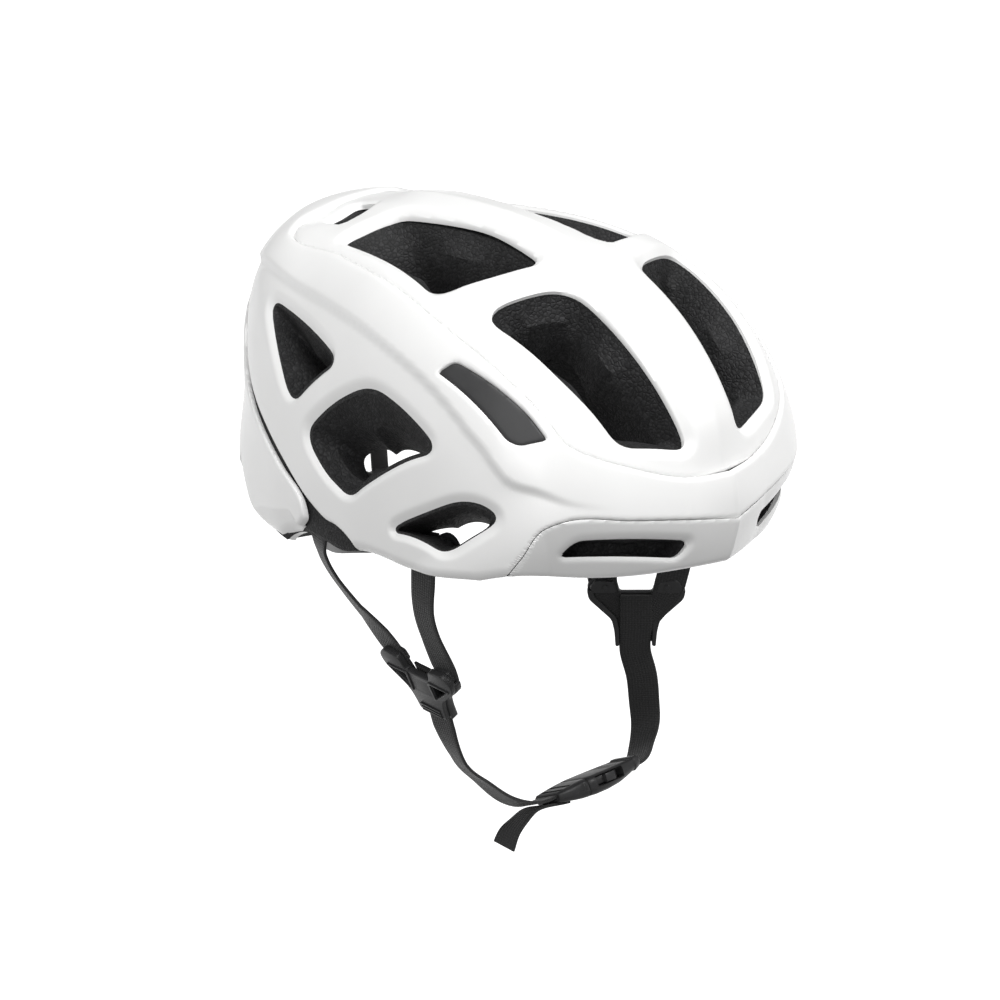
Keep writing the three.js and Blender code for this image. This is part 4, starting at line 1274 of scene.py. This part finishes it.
def female_buckle():
    """The socket half: a lens-shaped housing, open at its mouth and sides, with a slotted strap bar."""
    body = loft(
        "buckle_socket",
        [(18.0, 11.0, -5.0, 3.2), (18.5, 11.4, -5.4, 3.5), (22, 11.7, -5.7, 3.6), (30, 11.8, -5.6, 3.6),
         (38, 11.2, -4.9, 3.6), (43, 10.2, -4.0, 3.6), (47, 9.5, -3.0, 3.6), (50.5, 9.1, -1.9, 3.5),
         (52.6, 8.9, -1.2, 3.3), (53.2, 8.5, -0.8, 3.0)],
        PLASTIC, 0.36,
    )
    cutters = [block((10, -9.8, -2.5), (41.5, 9.8, 2.5))]
    cutters += [block((22.6, y, -2.6), (41, y + 5, 2.6), 1.2) for y in (-14, 9)]
    cutters += [block((46.2, -7.8, -9), (48.8, 7.8, 9), 0.6)]
    cutters += [block((x, -7.0, 3.1), (x + 0.9, 7.0, 9), 0.3) for x in (36, 38.2, 40.4)]
    return carved(body, cutters)


def male_buckle():
    """The plug half: a thin strap end with two slots, a shoulder and a tongue."""
    body = loft(
        "buckle_plug",
        [(0.2, 8.7, -2.2, 1.4), (0.8, 9.1, -2.8, 1.9), (4, 9.7, -3.6, 2.3), (9, 10.5, -4.5, 2.8),
         (14, 11.1, -5.2, 3.2), (17.2, 11.3, -5.4, 3.4), (17.7, 11.0, -5.1, 3.2)],
        PLASTIC, 0.36,
    )
    cutters = [block((x, -7.9, -9), (x + 2.3, 7.9, 9), 0.6) for x in (2.4, 7.9)]
    cutters += [block((9.2, y, -1.7), (15.8, y + 3, 1.9), 0.9) for y in (-13.6, 10.6)]
    tongue = loft(
        "tongue",
        [(16.5, 2.6, -2.1, 2.1), (33, 2.2, -2.1, 2.1), (35.6, 1.8, -1.7, 1.7), (36, 1.2, -1.2, 1.2)],
        PLASTIC, 0.3,
    )
    return join("buckle_plug", carved(body, cutters), tongue)


socket = moved(female_buckle(), BUCKLE_PLACE)
cap = loft(
    "strap_cap",
    [(50.4, 8.9, -2.4, 3.9), (51.0, 9.4, -2.7, 4.2), (53.6, 9.2, -1.6, 4.1), (54.8, 8.4, -0.4, 3.3)],
    PLASTIC_LIGHT, 0.4,
)
moved(cap, BUCKLE_PLACE)
settle(cap, ROOT, "plastic")
settle(socket, ROOT, "plastic", "buckle_female")
settle(moved(male_buckle(), BUCKLE_PLACE), "buckle_male", "plastic", "buckle_male")
for side_name in ("left", "right"):
    prong = detailed("prong_" + side_name, 0.45, PLASTIC_LIGHT)
    settle(prong, "prong_" + side_name, "plastic", "prong_" + side_name)


# ---- fit system and anchors ----
FITTINGS = {
    ROOT: [
        "strap_anchor_front_left", "strap_anchor_front_right", "strap_anchor_rear_left",
        "strap_anchor_rear_right", "temple_pin_left", "temple_pin_right", "hanger_guide",
    ],
    "cradle": ["cradle_housing", "cradle_cover", "height_hanger"],
    "dial": ["adjuster_dial", "adjuster_pinion"],
    "rack_left": ["fit_rack_left"],
    "rack_right": ["fit_rack_right"],
}
EDGE = {"cradle_housing": 0.9, "cradle_cover": 0.6, "adjuster_dial": 0.7, "height_hanger": 0.5}
for body_name, nodes in FITTINGS.items():
    for node in nodes:
        settle(detailed(node, EDGE.get(node, 0.25), PLASTIC), body_name, "plastic", node)
# Each band runs from its rack at the back to the cradle's hinge at the temple.
for which, side in (("left", 1), ("right", -1)):
    band = detailed("fit_band_" + which, 0.25, PLASTIC)
    settle_between(
        band, "rack_" + which, "cradle", (side * 41, 89, -44), (side * 72, 5, -20), "plastic",
        "fit_band_" + which,
    )


# ---- pads ----
PAD_VOXEL = 2.0 * MM
PAD_SHRINK = 0.35 * MM
PAD_SWELL = 1.1 * MM
PAD_PRESSURE = 4
PAD_FRAMES = 20
SEAM_IN = 3.2 * MM
SEAM_DEPTH = 0.55 * MM


def pad(node, body):
    """A knit-covered foam pad, blown up a little as cloth, with a sewn channel inside its edge."""
    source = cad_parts[node]
    mesh = source.data.copy()
    mesh.transform(source.matrix_world)
    obj = linked(node + "_piece", mesh)
    mesh.name = obj.name
    material_of(obj, PAD)
    edge_points = border_points(mesh)
    remesh = obj.modifiers.new("remesh", "REMESH")
    remesh.mode = "VOXEL"
    remesh.voxel_size = PAD_VOXEL
    apply_modifiers(obj)
    rest = np.array([v.co for v in obj.data.vertices])
    normals = np.array([v.normal for v in obj.data.vertices])
    start = rest - normals * PAD_SHRINK
    obj.data.vertices.foreach_set("co", start.ravel())
    cloth = obj.modifiers.new("cloth", "CLOTH")
    cloth.settings.use_pressure = True
    cloth.settings.uniform_pressure_force = PAD_PRESSURE
    cloth.settings.effector_weights.gravity = 0
    for frame_number in range(1, PAD_FRAMES + 1):
        bpy.context.scene.frame_set(frame_number)
    apply_modifiers(obj)
    bpy.context.scene.frame_set(1)
    blown = np.array([v.co for v in obj.data.vertices])
    move = blown - start
    size = np.linalg.norm(move, axis=1, keepdims=True)
    move *= np.minimum(1, PAD_SWELL / np.maximum(size, 1e-9))
    obj.data.vertices.foreach_set("co", (start + move).ravel())
    obj.modifiers.new("smooth", "SUBSURF").levels = 1
    apply_modifiers(obj)
    sew(obj, edge_points)
    material_of(obj, PAD)
    finish_shading(obj)
    settle(obj, body, "pad", node)


def border_points(mesh):
    """Points along a solid's sharp edges."""
    bm = bmesh.new()
    bm.from_mesh(mesh)
    bmesh.ops.remove_doubles(bm, verts=bm.verts, dist=WELD)
    points = []
    for e in bm.edges:
        if len(e.link_faces) == 2 and e.calc_face_angle(0) > math.radians(50):
            a, b = e.verts[0].co, e.verts[1].co
            steps = max(1, int((b - a).length / MM))
            points += [a.lerp(b, k / steps) for k in range(steps + 1)]
    bm.free()
    return points


def sew(obj, points):
    """Presses a channel into a pad at an even distance from its edge."""
    tree = KDTree(len(points))
    for i, point in enumerate(points):
        tree.insert(point, i)
    tree.balance()
    for v in obj.data.vertices:
        gap = tree.find(v.co)[2]
        v.co -= v.normal * SEAM_DEPTH * math.exp(-(((gap - SEAM_IN) / (0.9 * MM)) ** 2))


for node, body_name, fill in (
    ("brow_pad", ROOT, 0.75), ("crown_pad", ROOT, 0.7), ("side_pad_left", ROOT, 0.75),
    ("side_pad_right", ROOT, 0.75), ("nape_pad", "cradle", 0.85),
):
    pad(node, body_name)

# ---- camera, light and floor ----
CAMERA = {"back": 1.824, "left": 0.0091, "down": 0.0155, "lens": 144.0, "sensor": 36.0}
VIEW_BACK = Vector((-0.6486, -0.6715, 0.3584)).normalized()
VIEW_RIGHT = Vector((0.7193, -0.6947, 0.0)).normalized()
VIEW_UP = VIEW_BACK.cross(VIEW_RIGHT).normalized()

camera_data = bpy.data.cameras.new("camera")
camera_data.lens = CAMERA["lens"]
camera_data.sensor_width = CAMERA["sensor"]
camera = linked("camera", camera_data)
turn = Matrix((VIEW_RIGHT, VIEW_UP, VIEW_BACK)).transposed().to_4x4()
spot = VIEW_BACK * CAMERA["back"] - VIEW_RIGHT * CAMERA["left"] - VIEW_UP * CAMERA["down"]
camera.matrix_world = Matrix.Translation(spot) @ turn
bpy.context.scene.camera = camera

FLOOR_Z = -0.62
FLOOR_REACH = 12.0
# The floor glows as painted light: its glow and colour run from grey on the camera's side and under the
# helmet to white beyond it, over these distances.
FADE_WAY = (0.7071, 0.7071, 0)
FADE = (0.05, 0.6)
floor_mesh = bpy.data.meshes.new("floor")
corners = [(x * FLOOR_REACH, y * FLOOR_REACH, FLOOR_Z) for x, y in ((-1, -1), (1, -1), (1, 1), (-1, 1))]
floor_mesh.from_pydata(corners, [], [(0, 1, 2, 3)])
floor = linked("floor", floor_mesh)
pale, pale_tree, pale_shader = material("pale_floor", (0.95, 0.95, 0.95), 0.9, Emission_Color=(1, 1, 1, 1))
position = add(pale_tree, "ShaderNodeNewGeometry").outputs["Position"]
away = add(pale_tree, "ShaderNodeVectorMath", {0: position, 1: FADE_WAY}, operation="DOT_PRODUCT")
# Painted light: the floor's glow and colour, dim under the helmet and bright beyond it.
for socket, near, far in (("Emission Strength", 0.2, 1.0), ("Base Color", 0.12, 0.5)):
    ends = {"From Min": FADE[0], "From Max": FADE[1], "To Min": near, "To Max": far}
    fade = add(
        pale_tree, "ShaderNodeMapRange", {"Value": away.outputs["Value"], **ends},
        interpolation_type="SMOOTHSTEP",
    )
    feed(pale_tree, pale_shader, {socket: fade.outputs["Result"]})
floor_mesh.materials.append(pale)

# Large soft lights that face the helmet: place, size, power.
SOFTBOXES = {
    "key": ((-0.5, -0.6, 2.0), (1.1, 1.1), 27),
    "side": ((-1.9, -0.5, 0.9), (0.9, 1.2), 15),
    "front": ((0.5, -1.3, 1.7), (0.9, 1.0), 24),
}
for name, (place, size, power) in SOFTBOXES.items():
    light = bpy.data.lights.new(name, "AREA")
    light.shape = "RECTANGLE"
    light.size, light.size_y = size
    light.energy = power
    softbox = linked(name, light)
    softbox.location = place
    softbox.rotation_euler = (-Vector(place)).to_track_quat("-Z", "Y").to_euler()

world = bpy.data.worlds.new("studio")
bpy.context.scene.world = world
world.use_nodes = True
sky = world.node_tree
feed(sky, sky.nodes["Background"], {"Color": (1, 1, 1, 1), "Strength": 0.34})
bpy.context.scene.view_settings.view_transform = "Standard"
